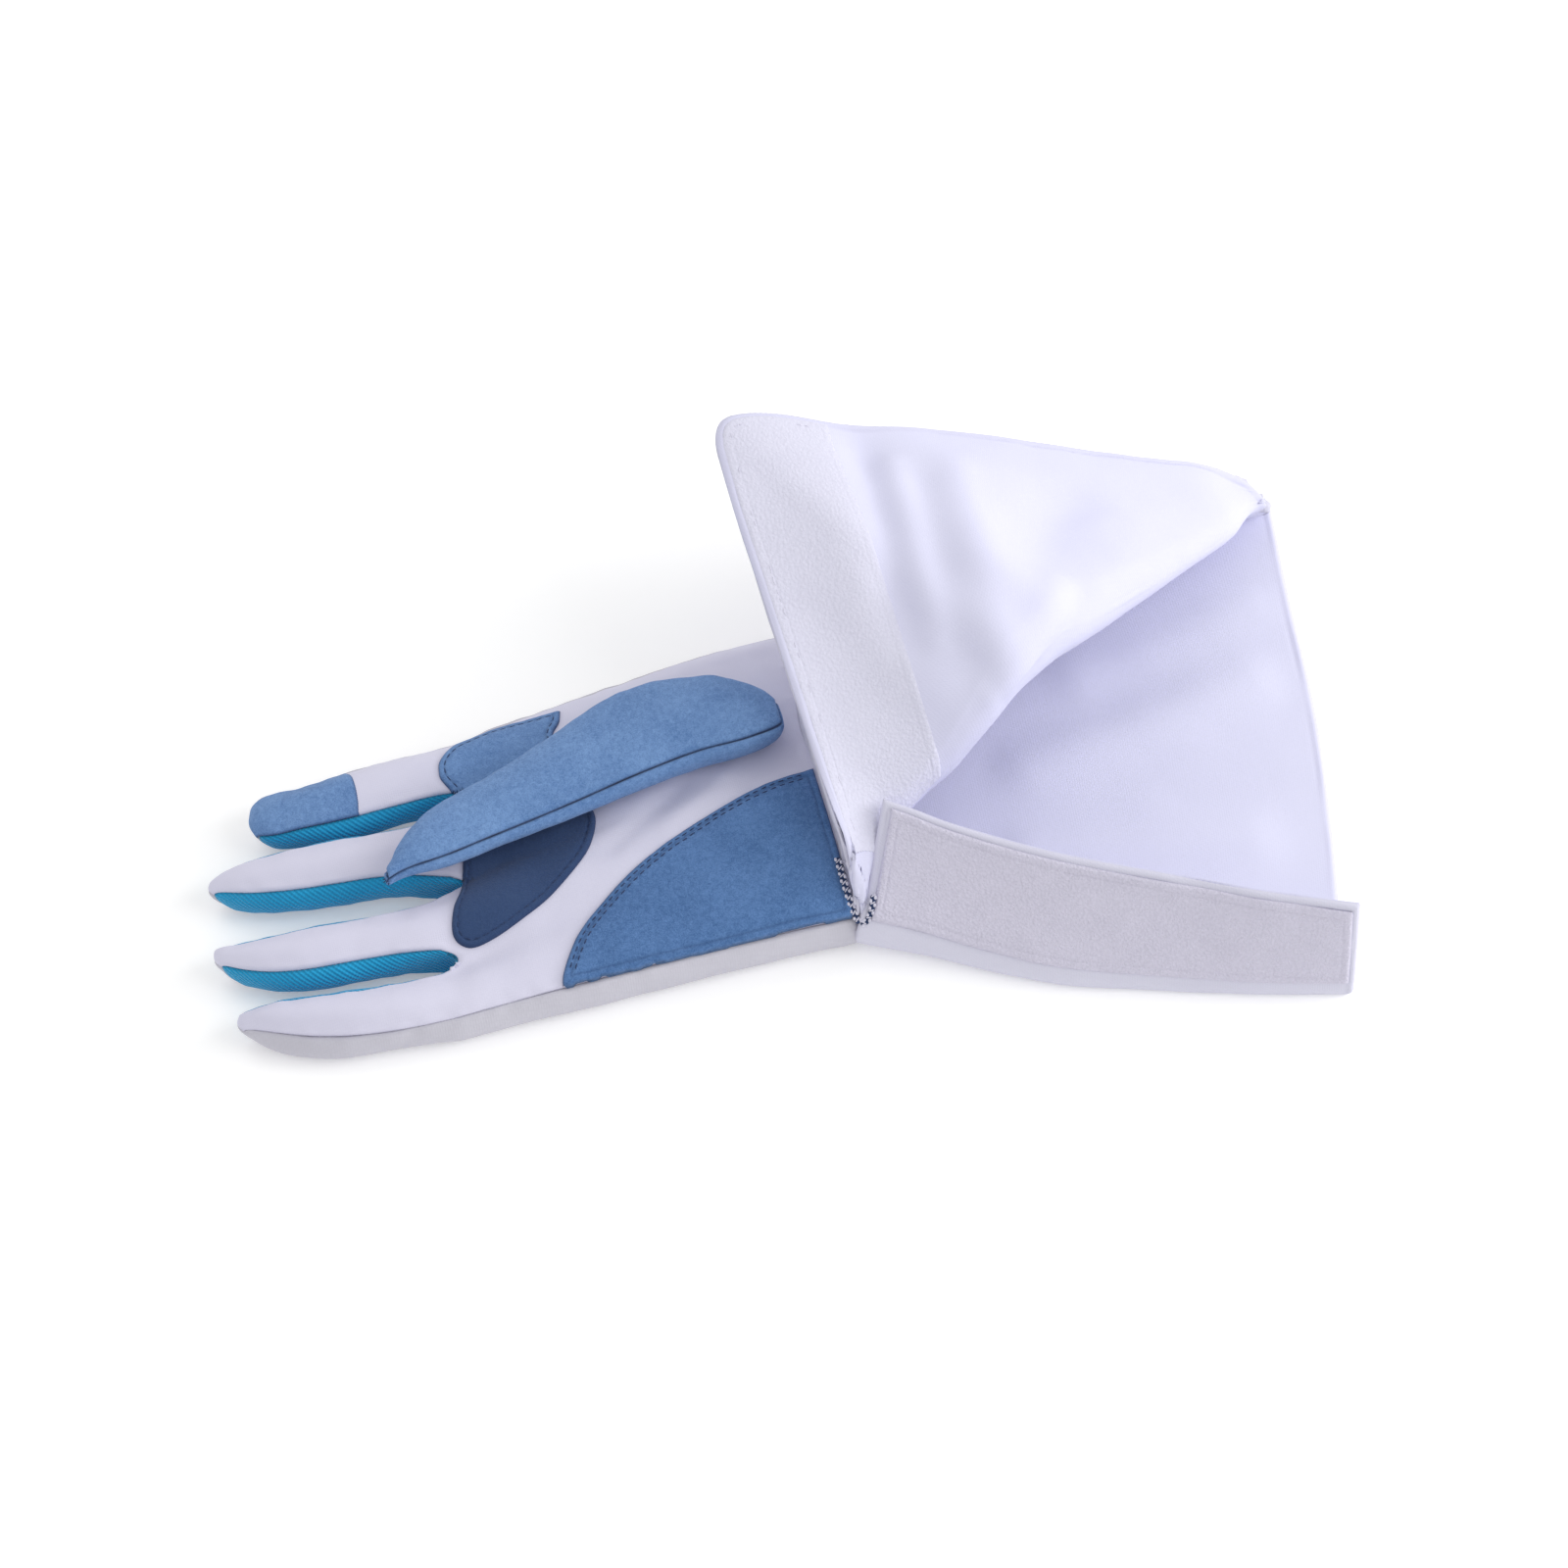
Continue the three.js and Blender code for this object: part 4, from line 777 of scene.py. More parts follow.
def palm_height(share, crown):
    edge = mix(ULNAR_SEAM_HEIGHT, RADIAL_SEAM_HEIGHT, share)
    side = abs(share * 2 - 1)
    return edge + (crown * PALM_DEPTH - edge) * (1 - side**2.6) ** 0.6


def finger_top(rows, row):
    along, ulnar, radial, seam = rows[row]
    crown, _, _, reach = FINGER_ROWS[row]
    return [
        [
            hand_x(along) - reach * FINGER_DEPTH * ridge,
            hand_y(mix(ulnar, radial, k / 4)),
            (seam + crown * ridge) * FINGER_DEPTH,
        ]
        for k, ridge in enumerate(RIDGE_SHARE)
    ]


def build_hand():
    hand = Skin()
    root = []
    for k, rows in enumerate(FINGERS):
        root.extend(finger_top(rows, 0))
        if k < 3:
            lift = mix(rows[0][3], FINGERS[k + 1][0][3], 0.5) * FINGER_DEPTH
            root.append([hand_x(SLOTS[k][0]), hand_y(SLOTS[k][1]), lift])
    root[0][2] = ULNAR_SEAM_HEIGHT * 0.86
    root[LAST_TOP][2] = RADIAL_SEAM_HEIGHT
    top = []
    for along, crown, fingers in PALM_ROWS:
        line = []
        for c in range(LAST_TOP + 1):
            share = c / LAST_TOP
            y = mix(hand_y(mix(ULNAR_WRIST, RADIAL_WRIST, share)), root[c][1], along**1.3)
            z = mix(palm_height(share, crown), root[c][2], fingers)
            line.append(hand.point(root[c][0] * along, y, z))
        top.append(line)
    top.append([hand.point(*p) for p in root])
    low = []
    middle = hand_y(mix(ULNAR_WRIST, RADIAL_WRIST, 0.5))
    for j, line in enumerate(top):
        row = PALM_ROWS[j][2] if j < ROOT_ROW else 1
        under = []
        for c, i in enumerate(line):
            p = hand.points[i]
            beside = c % 6 == 5 or (c % 6 == 4 and c < LAST_TOP) or (c % 6 == 0 and c > 0)
            raised = KEEL * FINGER_DEPTH if beside else 0
            lift = raised if j == ROOT_ROW else raised * max(0, row - 0.55)
            y = middle + (p.y - middle) * 0.95 if c in (0, LAST_TOP) else p.y
            under.append(hand.point(p.x, y, lift))
        low.append(under)

    def swell(seam_id, under_id, outward):
        seam, under = hand.points[seam_id], hand.points[under_id]
        bulge = outward * SIDE_BULGE
        return [
            hand.point(seam.x, seam.y + bulge, seam.z * 0.5),
            hand.point(under.x, mix(seam.y + bulge, under.y, 0.35), seam.z * 0.1),
        ]

    ulnar_swell = [swell(line[0], low[j][0], -1) for j, line in enumerate(top)]
    radial_swell = [swell(line[-1], low[j][-1], 1) for j, line in enumerate(top)]
    for j in range(ROOT_ROW):
        for c in range(LAST_TOP):
            hand.quad(PALM, (top[j][c], top[j][c + 1], top[j + 1][c + 1], top[j + 1][c]))
            hand.quad(BACK, (low[j][c], low[j + 1][c], low[j + 1][c + 1], low[j][c + 1]))

    fingers = []
    for k, rows in enumerate(FINGERS):
        first = k * 6
        f_top = [top[ROOT_ROW][first : first + 5]]
        f_low = [low[ROOT_ROW][first : first + 5]]
        ulnar, radial = [ulnar_swell[ROOT_ROW]], [radial_swell[ROOT_ROW]]
        for r in range(1, len(rows)):
            _, keel, bulge, _ = FINGER_ROWS[r]
            points = finger_top(rows, r)
            if k in (0, 3):
                outer = 0 if k == 0 else 4
                seam = ULNAR_SEAM_HEIGHT * 0.78 if k == 0 else RADIAL_SEAM_HEIGHT
                points[outer][2] = min(points[outer][2], seam)
            line = [hand.point(*p) for p in points]
            f_top.append(line)
            if r == len(rows) - 1:
                f_low.append(line)
                ulnar.append([line[0], line[0]])
                radial.append([line[4], line[4]])
                continue
            under = []
            near_tip = 0.18 if r >= len(rows) - 2 else 0
            for i, p in enumerate(points):
                y = mix(points[0][1], points[4][1], mix(0.06, 0.94, i / 4))
                is_outer = (k == 0 and i == 0) or (k == 3 and i == 4)
                lift = near_tip if is_outer else (keel if i in (0, 4) else near_tip * 0.6)
                under.append(hand.point(p[0], y, lift * FINGER_DEPTH))
            f_low.append(under)
            for side, seam_id, under_id, way in (
                (ulnar, line[0], under[0], -1),
                (radial, line[4], under[4], 1),
            ):
                seam, below = hand.points[seam_id], hand.points[under_id]
                out = way * SIDE_BULGE * bulge
                side.append(
                    [
                        hand.point(seam.x, seam.y + out, mix(seam.z, below.z, 0.38)),
                        hand.point(below.x, below.y + out, mix(seam.z, below.z, 0.76)),
                    ]
                )
        for r in range(len(f_top) - 1):
            for i in range(4):
                hand.quad(PALM, (f_top[r][i], f_top[r][i + 1], f_top[r + 1][i + 1], f_top[r + 1][i]))
                hand.quad(BACK, (f_low[r][i], f_low[r + 1][i], f_low[r + 1][i + 1], f_low[r][i + 1]))
        fingers.append({"top": f_top, "low": f_low, "ulnar": ulnar, "radial": radial})

    def outer_side(seam, side, under, flip):
        columns = [seam, [s[0] for s in side], [s[1] for s in side], under]
        for c in range(3):
            a, b = (columns[c + 1], columns[c]) if flip else (columns[c], columns[c + 1])
            for i in range(len(a) - 1):
                hand.quad(BACK, (a[i], a[i + 1], b[i + 1], b[i]))

    little, index = fingers[0], fingers[3]
    outer_side(
        [line[0] for line in top] + [line[0] for line in little["top"][1:]],
        ulnar_swell + little["ulnar"][1:],
        [line[0] for line in low] + [line[0] for line in little["low"][1:]],
        False,
    )
    outer_side(
        [line[-1] for line in top] + [line[4] for line in index["top"][1:]],
        radial_swell + index["radial"][1:],
        [line[-1] for line in low] + [line[4] for line in index["low"][1:]],
        True,
    )

    for k, panel in enumerate((RING_LITTLE, MIDDLE_RING, INDEX_MIDDLE)):
        a, b = fingers[k], fingers[k + 1]
        bulge = SIDE_BULGE * FINGER_ROWS[0][2]

        def column(c, outward):
            upper, lower = hand.points[top[ROOT_ROW][c]], hand.points[low[ROOT_ROW][c]]
            ids = [top[ROOT_ROW][c]]
            for share in (0.38, 0.76):
                p = upper.lerp(lower, share)
                ids.append(hand.point(p.x + outward[0], p.y + outward[1], p.z))
            return [*ids, low[ROOT_ROW][c]]

        first = k * 6 + 4
        stations = [
            [a["top"][r][4], *a["radial"][r], a["low"][r][4]] for r in range(len(a["top"]) - 1, 0, -1)
        ]
        stations.append(column(first, (0, bulge)))
        stations.append(column(first + 1, (-bulge, 0)))
        stations.append(column(first + 2, (0, -bulge)))
        stations += [[b["top"][r][0], *b["ulnar"][r], b["low"][r][0]] for r in range(1, len(b["top"]))]
        run = [0.0]
        for s in range(len(stations) - 1):
            step = hand.points[stations[s + 1][1]] - hand.points[stations[s][1]]
            run.append(run[-1] + step.length * 0.001)
        for s in range(len(stations) - 1):
            here, after = stations[s], stations[s + 1]
            for c in range(3):
                v0, v1 = c * 0.0042, (c + 1) * 0.0042
                hand.quad(
                    panel,
                    (here[c], after[c], after[c + 1], here[c + 1]),
                    ((run[s], v0), (run[s + 1], v0), (run[s + 1], v1), (run[s], v1)),
                )
    return smooth_skin(hand, 3)


# The wrist seam leans toward the cuff on the thumb's side, under the flap's edge
SEAM_LEAN = 4.5


def lean_seam(bm):
    for v in bm.verts:
        side = min(1, max(0, (v.co.y - 2) / 40)) * min(1, max(0, (36 - v.co.z) / 8))
        v.co.x += SEAM_LEAN * side * math.exp(-((v.co.x / 15) ** 2))


def surface_of(bm):
    bm.normal_update()
    return BVHTree.FromBMesh(bm)


hand = build_hand()
HAND_FOLDS = [
    (Vector((-40, -7, 21)), Vector((-66, -25, 20)), -1.1, 3.6),
    (Vector((-27, -8, 22)), Vector((-48, -22, 21)), 0.7, 3.2),
    (Vector((-22, -14, 22)), Vector((-44, -28, 21)), -0.8, 3.4),
    (Vector((-70, -8, 20)), Vector((-92, -34, 19)), -0.6, 5.0),
    (Vector((-16, 38, 18)), Vector((-6, 4, 22)), -0.9, 4.0),
    (Vector((-10, 40, 17)), Vector((-3, 16, 21)), 0.6, 3.0),
    (Vector((-104, -48, 16)), Vector((-72, -54, 16)), 0.5, 6.0),
    (Vector((-118, -40, 15)), Vector((-122, -62, 14)), -0.5, 4.0),
]
soften(hand, 0.7, 24.0, 0.6, 5.0, 4.0, HAND_FOLDS, 3.1)
WRIST_TUCK = 1.0
for v in hand.verts:
    if v.co.x > -1.2:
        v.co.x += WRIST_TUCK
lean_seam(hand)
for v in hand.verts:
    v.co.z = max(v.co.z, 0.0)

# Where the seams meet at the wrist, the edges stay plain: place, reach
WRIST_END = (Vector((0, -68, 7)), 10.0)
# Edge profiles: their third column is the painted shade of the seam and its stitch groove
HAND_SEAM = [(0, -0.55, 0.3), (0.3, -0.28, 0.15), (0.7, 0.0, 0.1), (1.5, 0.14, 0.0), (3.0, 0.0, 0.0)]
KNIT_SEAM = [(0, -0.55, 0.8), (0.4, -0.35, 0.35), (1.0, -0.1, 0.0), (2.5, 0.0, 0.0)]
palm = take_panel(hand, PALM)
palm_edge = [v.co.copy() for v in palm.verts if any(e.is_boundary for e in v.link_edges)]
dress_edge(palm, HAND_SEAM)
palm_surface = surface_of(palm)
back = take_panel(hand, BACK)
dress_edge(back, HAND_SEAM, 1, [WRIST_END])
strips = []
for panel in (RING_LITTLE, MIDDLE_RING, INDEX_MIDDLE):
    strip = take_panel(hand, panel)
    dress_edge(strip, KNIT_SEAM)
    strips.append(strip)
CAP_SEAM = [(0, -0.55, 0.8), (0.4, -0.12, 0.35), (1.0, 0.12, 0.0), (4.0, 0.0, 0.0)]
CAP_RISE = 0.45
cap = take_panel(hand, PALM)
cut_where(cap, lambda p: min(p.y - 5, hand_x(0.718) - 0.012 * (p.y - 17) ** 2 - p.x))
shift_out(cap, CAP_RISE)
dress_edge(cap, CAP_SEAM)
hand.free()

# Suede patches on the palm side


def smooth_line(points, step):
    """Points every step along a smooth open line through the given ones"""
    dense = []
    last = len(points) - 1
    for i in range(last):
        p0, p1 = points[max(0, i - 1)], points[i]
        p2, p3 = points[i + 1], points[min(last, i + 2)]
        for k in range(12):
            t = k / 12
            dense.append(
                0.5 * (2 * p1 + (p2 - p0) * t + (2 * p0 - 5 * p1 + 4 * p2 - p3) * t**2
                       + (3 * p1 - p0 - 3 * p2 + p3) * t**3)
            )
    dense.append(points[-1])
    length = sum((b - a).length for a, b in zip(dense, dense[1:]))
    count = max(2, round(length / step))
    out, at, run = [dense[0]], 1, 0.0
    for k in range(1, count):
        goal = length * k / count
        while run + (dense[at] - dense[at - 1]).length < goal:
            run += (dense[at] - dense[at - 1]).length
            at += 1
        span = (dense[at] - dense[at - 1]).length
        out.append(dense[at - 1].lerp(dense[at], (goal - run) / span))
    out.append(dense[-1])
    return out


def closed_outline(sides, step):
    outline = []
    for side in sides:
        outline.extend(smooth_line([Vector(p) for p in side], step)[:-1])
    return outline


def outline_tree(outline):
    fine = []
    for a, b in zip(outline, outline[1:] + outline[:1]):
        count = max(1, round((b - a).length / 0.15))
        fine.extend(a.lerp(b, k / count) for k in range(count))
    tree = KDTree(len(fine))
    for i, p in enumerate(fine):
        tree.insert((p.x, p.y, 0), i)
    tree.balance()
    return tree


def is_inside(p, outline):
    inside = False
    for a, b in zip(outline, outline[1:] + outline[:1]):
        if (a.y > p.y) != (b.y > p.y) and p.x < a.x + (b.x - a.x) * (p.y - a.y) / (b.y - a.y):
            inside = not inside
    return inside


def offset_line(outline, tree, distance):
    """Points inside a closed outline at one distance from it"""
    out = []
    count = len(outline)
    for i, p in enumerate(outline):
        along = outline[(i + 1) % count] - outline[i - 1]
        side = Vector((-along.y, along.x)).normalized()
        for way in (1, -1):
            q = p + side * way * distance
            if tree.find((q.x, q.y, 0))[2] > distance * 0.97 and is_inside(q, outline):
                out.append(q)
    return out


def drop_on(surface, x, y):
    hit, normal, _, _ = surface.ray_cast(Vector((x, y, 80)), Vector((0, 0, -1)))
    if hit is None:
        hit, normal, _, _ = surface.find_nearest(Vector((x, y, 16)))
    return hit, normal


def build_patch(outline, surface, groove):
    """A suede patch over the palm with a rounded edge and sewn grooves"""
    tree = outline_tree(outline)
    points = list(outline)
    for distance in (0.35, 0.8, 1.4, groove - 0.5, groove, groove + 0.5, groove + 1.1):
        points.extend(offset_line(outline, tree, distance))
    xs, ys = [p.x for p in outline], [p.y for p in outline]
    pitch = 1.5
    y, row = min(ys), 0
    while y < max(ys):
        x = min(xs) + (pitch / 2 if row % 2 else 0)
        while x < max(xs):
            q = Vector((x, y))
            if tree.find((x, y, 0))[2] > groove + 1.9 and is_inside(q, outline):
                points.append(q)
            x += pitch
        y += pitch * 0.87
        row += 1
    made = delaunay_2d_cdt(points, [], [list(range(len(outline)))], 1, 1e-4)
    flat, faces = made[0], made[2]
    bm = bmesh.new()
    seam = bm.verts.layers.float.new("seam")
    verts = []
    for p in flat:
        hit, normal = drop_on(surface, p.x, p.y)
        gap = tree.find((p.x, p.y, 0))[2]
        lift = 0.35 + SUEDE * (1 - math.exp(-gap / 0.4))
        lift -= 0.28 * math.exp(-(((gap - groove) / 0.45) ** 2))
        lift += 0.16 * math.exp(-gap / 6) * noise.noise(Vector((p.x, p.y, 0)) / 3.5)
        v = bm.verts.new(hit + normal * lift)
        # Painted shade at the patch's edge and in its sewn groove
        v[seam] = 0.75 * math.exp(-((gap / 0.3) ** 2)) + 0.3 * math.exp(-(((gap - groove) / 0.4) ** 2))
        verts.append(v)
    for face in faces:
        bm.faces.new([verts[i] for i in face])
    bm.normal_update()
    if sum(f.normal.z for f in bm.faces) < 0:
        bmesh.ops.reverse_faces(bm, faces=bm.faces[:])
    edges = [e for e in bm.edges if e.is_boundary]
    skirt = bmesh.ops.extrude_edge_only(bm, edges=edges)
    for v in [g for g in skirt["geom"] if isinstance(g, bmesh.types.BMVert)]:
        v.co.z -= 0.9
        # The skirt under the patch's edge takes the full painted shade
        v[seam] = 1.0
    bmesh.ops.recalc_face_normals(bm, faces=bm.faces[:])
    return bm


def share_points(pairs):
    return [(hand_x(a), hand_y(b)) for a, b in pairs]


TONGUE_EDGE = [
    (0.365, 0.300), (0.372, 0.255), (0.387, 0.215), (0.387, 0.180), (0.372, 0.040),
    (0.360, -0.060), (0.360, -0.130), (0.390, -0.225), (0.458, -0.325), (0.530, -0.390),
    (0.583, -0.418), (0.607, -0.410), (0.621, -0.372), (0.610, -0.300), (0.592, -0.240),
    (0.575, -0.120), (0.565, 0.000), (0.560, 0.075),
]
BASE_EDGE = [
    (0.560, 0.075), (0.580, 0.125), (0.583, 0.150), (0.577, 0.188), (0.552, 0.232),
    (0.520, 0.255), (0.475, 0.277), (0.365, 0.300),
]
tongue_outline = closed_outline([share_points(TONGUE_EDGE), share_points(BASE_EDGE)], 1.0)

HEEL_CURVE = [
    (0.004, -0.122), (0.085, -0.140), (0.190, -0.190), (0.297, -0.280), (0.370, -0.365),
    (0.430, -0.460), (0.467, -0.560), (0.477, -0.595),
]
heel_seam = [p for p in palm_edge if hand_x(0.474) < p.x < -0.6 and p.y < hand_y(-0.5)]
heel_seam.sort(key=lambda p: p.x)
heel_seam = [Vector((p.x, p.y - 0.35)) for p in heel_seam]
heel_curve = [Vector(p) for p in share_points(HEEL_CURVE)]
heel_curve[0].x = -0.2
heel_outline = (
    smooth_line([*heel_curve[:-1], heel_seam[0]], 1.0)[:-1]
    + smooth_line(heel_seam[::3] + [Vector((-0.2, heel_seam[-1].y))], 1.0)[:-1]
    + smooth_line([Vector((-0.2, heel_seam[-1].y)), heel_curve[0]], 1.0)[:-1]
)

tongue = build_patch(tongue_outline, palm_surface, 2.0)
# Painted shadow of the thumb on the tongue: full below y = -8 mm, none above y = 8 mm
thumb_shade = tongue.verts.layers.float.new("thumb_shade")
for v in tongue.verts:
    v[thumb_shade] = min(1, max(0, (8 - v.co.y) / 16))
heel = build_patch(heel_outline, palm_surface, 2.4)
tongue_surface, heel_surface = surface_of(tongue), surface_of(heel)

make_piece("palm_side", palm, PALM_CLOTH, ["palm_panel"], CLOTH)
make_piece("back_of_hand", back, BACK_CLOTH, ["back_panel"], CLOTH)
for strip, label in zip(strips, ("ring_little", "middle_ring", "index_middle")):
    make_piece(f"knit_{label}", strip, TEAL_KNIT, [f"fourchette_{label}"], KNIT)
make_piece("tip_cap", cap, BLUE_SUEDE, ["index_tip_cap"], SUEDE)
make_piece("palm_tongue", tongue, BLUE_SUEDE, ["index_palm_patch"])
make_piece("heel_suede", heel, DEEP_SUEDE, ["heel_patch"])

# Thumb

UPPER, UNDER = 0, 1
THUMB_TIP_X = -135
NEAR_SEAM = 0.075
TOP_SHARES = (0, NEAR_SEAM, 0.2, 0.4, 0.6, 0.8, 0.94, 1)
THUMB_TOP = len(TOP_SHARES) - 1
THUMB_UNDER = 8
THUMB_HOLE = Vector((-40, 11))
THUMB_HOLE_TURN = 0.24


def build_thumb():
    thumb = Skin()
    rows = []
    for along, near, far, lift, depth, crown in THUMB_ROWS:
        x = THUMB_TIP_X + along * THUMB_LENGTH
        near, far, lift = near * THUMB_WIDTH, far * THUMB_WIDTH, lift * THUMB_LIFT
        top = []
        for share in TOP_SHARES:
            side = share * 2 - 1
            rise = THUMB_CROWN * crown * math.sqrt(max(0, 1 - side * side))
            top.append(thumb.point(x, mix(near, far, share), lift + rise))
        under = [top[0]]
        for i in range(1, THUMB_UNDER):
            side = -math.cos(math.pi * i / THUMB_UNDER)
            drop = THUMB_DEPTH * depth * (1 - abs(side) ** 2.6) ** 0.55
            under.append(thumb.point(x, mix(near, far, (side * 1.03 + 1) / 2), lift - drop))
        under.append(top[-1])
        rows.append((top, under))
    for (top, under), (top_b, under_b) in zip(rows, rows[1:]):
        for i in range(THUMB_TOP):
            panel = UPPER if i else UNDER
            thumb.quad(panel, (top[i], top_b[i], top_b[i + 1], top[i + 1]))
        for i in range(THUMB_UNDER):
            thumb.quad(UNDER, (under[i], under[i + 1], under_b[i + 1], under_b[i]))
    for (top, under), flip in ((rows[0], False), (rows[-1], True)):
        loop = under + top[1:-1][::-1]
        middle = sum((thumb.points[i] for i in loop), Vector()) / len(loop)
        centre = thumb.point(*middle)
        for i, here in enumerate(loop):
            after = loop[(i + 1) % len(loop)]
            thumb.quad(UNDER, (centre, here, after) if flip else (centre, after, here))
    return smooth_skin(thumb, 3)


thumb = build_thumb()
soften(thumb, 0.45, 22.0, 0.7, 5.5, 3.5, (), 7.7)
THUMB_SEAM = [(0, -0.75, 0.9), (0.25, -0.35, 0.55), (0.6, 0.05, 0.1), (1.6, 0.28, 0.0), (4.0, 0.0, 0.0)]
upper = take_panel(thumb, UPPER)
dress_edge(upper, THUMB_SEAM)
under = take_panel(thumb, UNDER)
dress_edge(under, THUMB_SEAM)
thumb_surface = surface_of(under.copy())
thumb.free()
make_piece("thumb_upper", upper, BLUE_SUEDE, ["thumb_upper_panel"], SUEDE)
make_piece("thumb_under", under, BLUE_SUEDE, ["thumb_under_panel"], SUEDE)


# Neck of the thumb: from the hole in the palm, flaring into the pouch
def build_neck():
    bm = bmesh.new()
    bm.verts.layers.float.new("seam")
    ring = bmesh.ops.create_circle(bm, segments=72, radius=1.0)["verts"]
    cosine, sine = math.cos(THUMB_HOLE_TURN), math.sin(THUMB_HOLE_TURN)

    def shape(verts, grow, level):
        for k, v in enumerate(verts):
            angle = 2 * math.pi * k / len(verts)
            u = math.cos(angle) * (THUMB_HOLE_LENGTH / 2 + grow)
            w = math.sin(angle) * (THUMB_HOLE_WIDTH / 2 + grow)
            x, y = THUMB_HOLE.x + u * cosine - w * sine, THUMB_HOLE.y + u * sine + w * cosine
            hit, _ = drop_on(palm_surface, x, y)
            roof, _, _, _ = thumb_surface.ray_cast(Vector((x, y, 5)), Vector((0, 0, 1)))
            foot = Vector((x, y, hit.z - 0.4))
            if roof:
                head = Vector((x, y, max(roof.z + 0.8, hit.z + 1)))
            else:
                head = thumb_surface.find_nearest(Vector((x, y, hit.z + 10)))[0]
            v.co = foot.lerp(head, level)

    order = sorted(ring, key=lambda v: math.atan2(v.co.y, v.co.x) % (2 * math.pi))
    shape(order, 0.8, 0.0)
    for grow, level in ((-0.2, 0.12), (-0.7, 0.35), (-0.7, 0.6), (0.2, 0.85), (1.2, 1.0)):
        edges = [e for e in bm.edges if all(v in set(order) for v in e.verts)]
        made = bmesh.ops.extrude_edge_only(bm, edges=edges)["geom"]
        fresh = [g for g in made if isinstance(g, bmesh.types.BMVert)]
        partner = {}
        for v in fresh:
            for e in v.link_edges:
                other = e.other_vert(v)
                if other in order:
                    partner[other] = v
        order = [partner[v] for v in order]
        shape(order, grow, level)
    bmesh.ops.recalc_face_normals(bm, faces=bm.faces[:])
    return bm


make_piece("thumb_neck", build_neck(), BLUE_SUEDE, (), NECK_WALL)

# Cuff: one sheet round the wrist, open along the slit and rolled back

FLAP, ATTACHED, CUFF_BACK, UNDERLAP = range(4)
SHEET_HALF_GAP = LAYER_GAP / 2
CUFF_FLOOR = SHELL + SHEET_HALF_GAP
WRIST_ULNAR_Y = hand_y(ULNAR_WRIST)
WRIST_RADIAL_Y = hand_y(RADIAL_WRIST)
RIM_RADIAL_Y = 66
SLIT = Vector((1.5, WRIST_ULNAR_Y + 1.5))
CREASE = Vector((CUFF_LENGTH + 1.5, RIM_RADIAL_Y - 3)) - SLIT
WAY = CREASE.normalized()
ACROSS = Vector((WAY.y, -WAY.x))
FLAP_CORNER = 0.35
CORNER_ROUND = 0.045
CREASE_START = 0.024
WRIST_STATIONS = 8
RADIAL_SHARES = [0, 0.03, 0.08, 0.15, 0.22, 0.29, 0.39, 0.5, 0.6, 0.7, 0.79, 0.87, 0.94, 1]
ATTACHED_STEPS = 4
ROLL_STEPS = 7
FLAP_STEPS = 7
KITE_LAST = ATTACHED_STEPS + ROLL_STEPS + FLAP_STEPS
BACK_STEPS = 5
HOOK_STEPS = 4


def flap_end(t):
    share = t / CREASE.length
    cut = math.exp(-(((share - FLAP_CORNER) / CORNER_ROUND) ** 2)) * CORNER_ROUND
    reach, height = FLAP_REACH * (1 - cut * 0.8), FLAP_HEIGHT * (1 - cut * 0.8)
    if share < FLAP_CORNER:
        s = share / FLAP_CORNER
        return Vector((-reach * s, read_table(EDGE_HEIGHTS, 1, s) * height))
    s = (share - FLAP_CORNER) / (1 - FLAP_CORNER)
    return Vector((-mix(reach, 4, s), read_table(RIM_HEIGHTS, 1, s) * height))


def flap_fold(share, q):
    lift = 0
    for t1, q1, t2, q2, depth, width in FLAP_FOLDS:
        way = Vector(((t2 - t1) * CREASE.length, (q2 - q1) * FLAP_REACH))
        p = Vector(((share - t1) * CREASE.length, (q - q1) * FLAP_REACH))
        along = min(1, max(0, p.dot(way) / way.length_squared))
        gap = (p - way * along).length
        lift += depth * FOLD_DEPTH * math.exp(-((gap / (width * FLAP_REACH)) ** 2))
    return lift


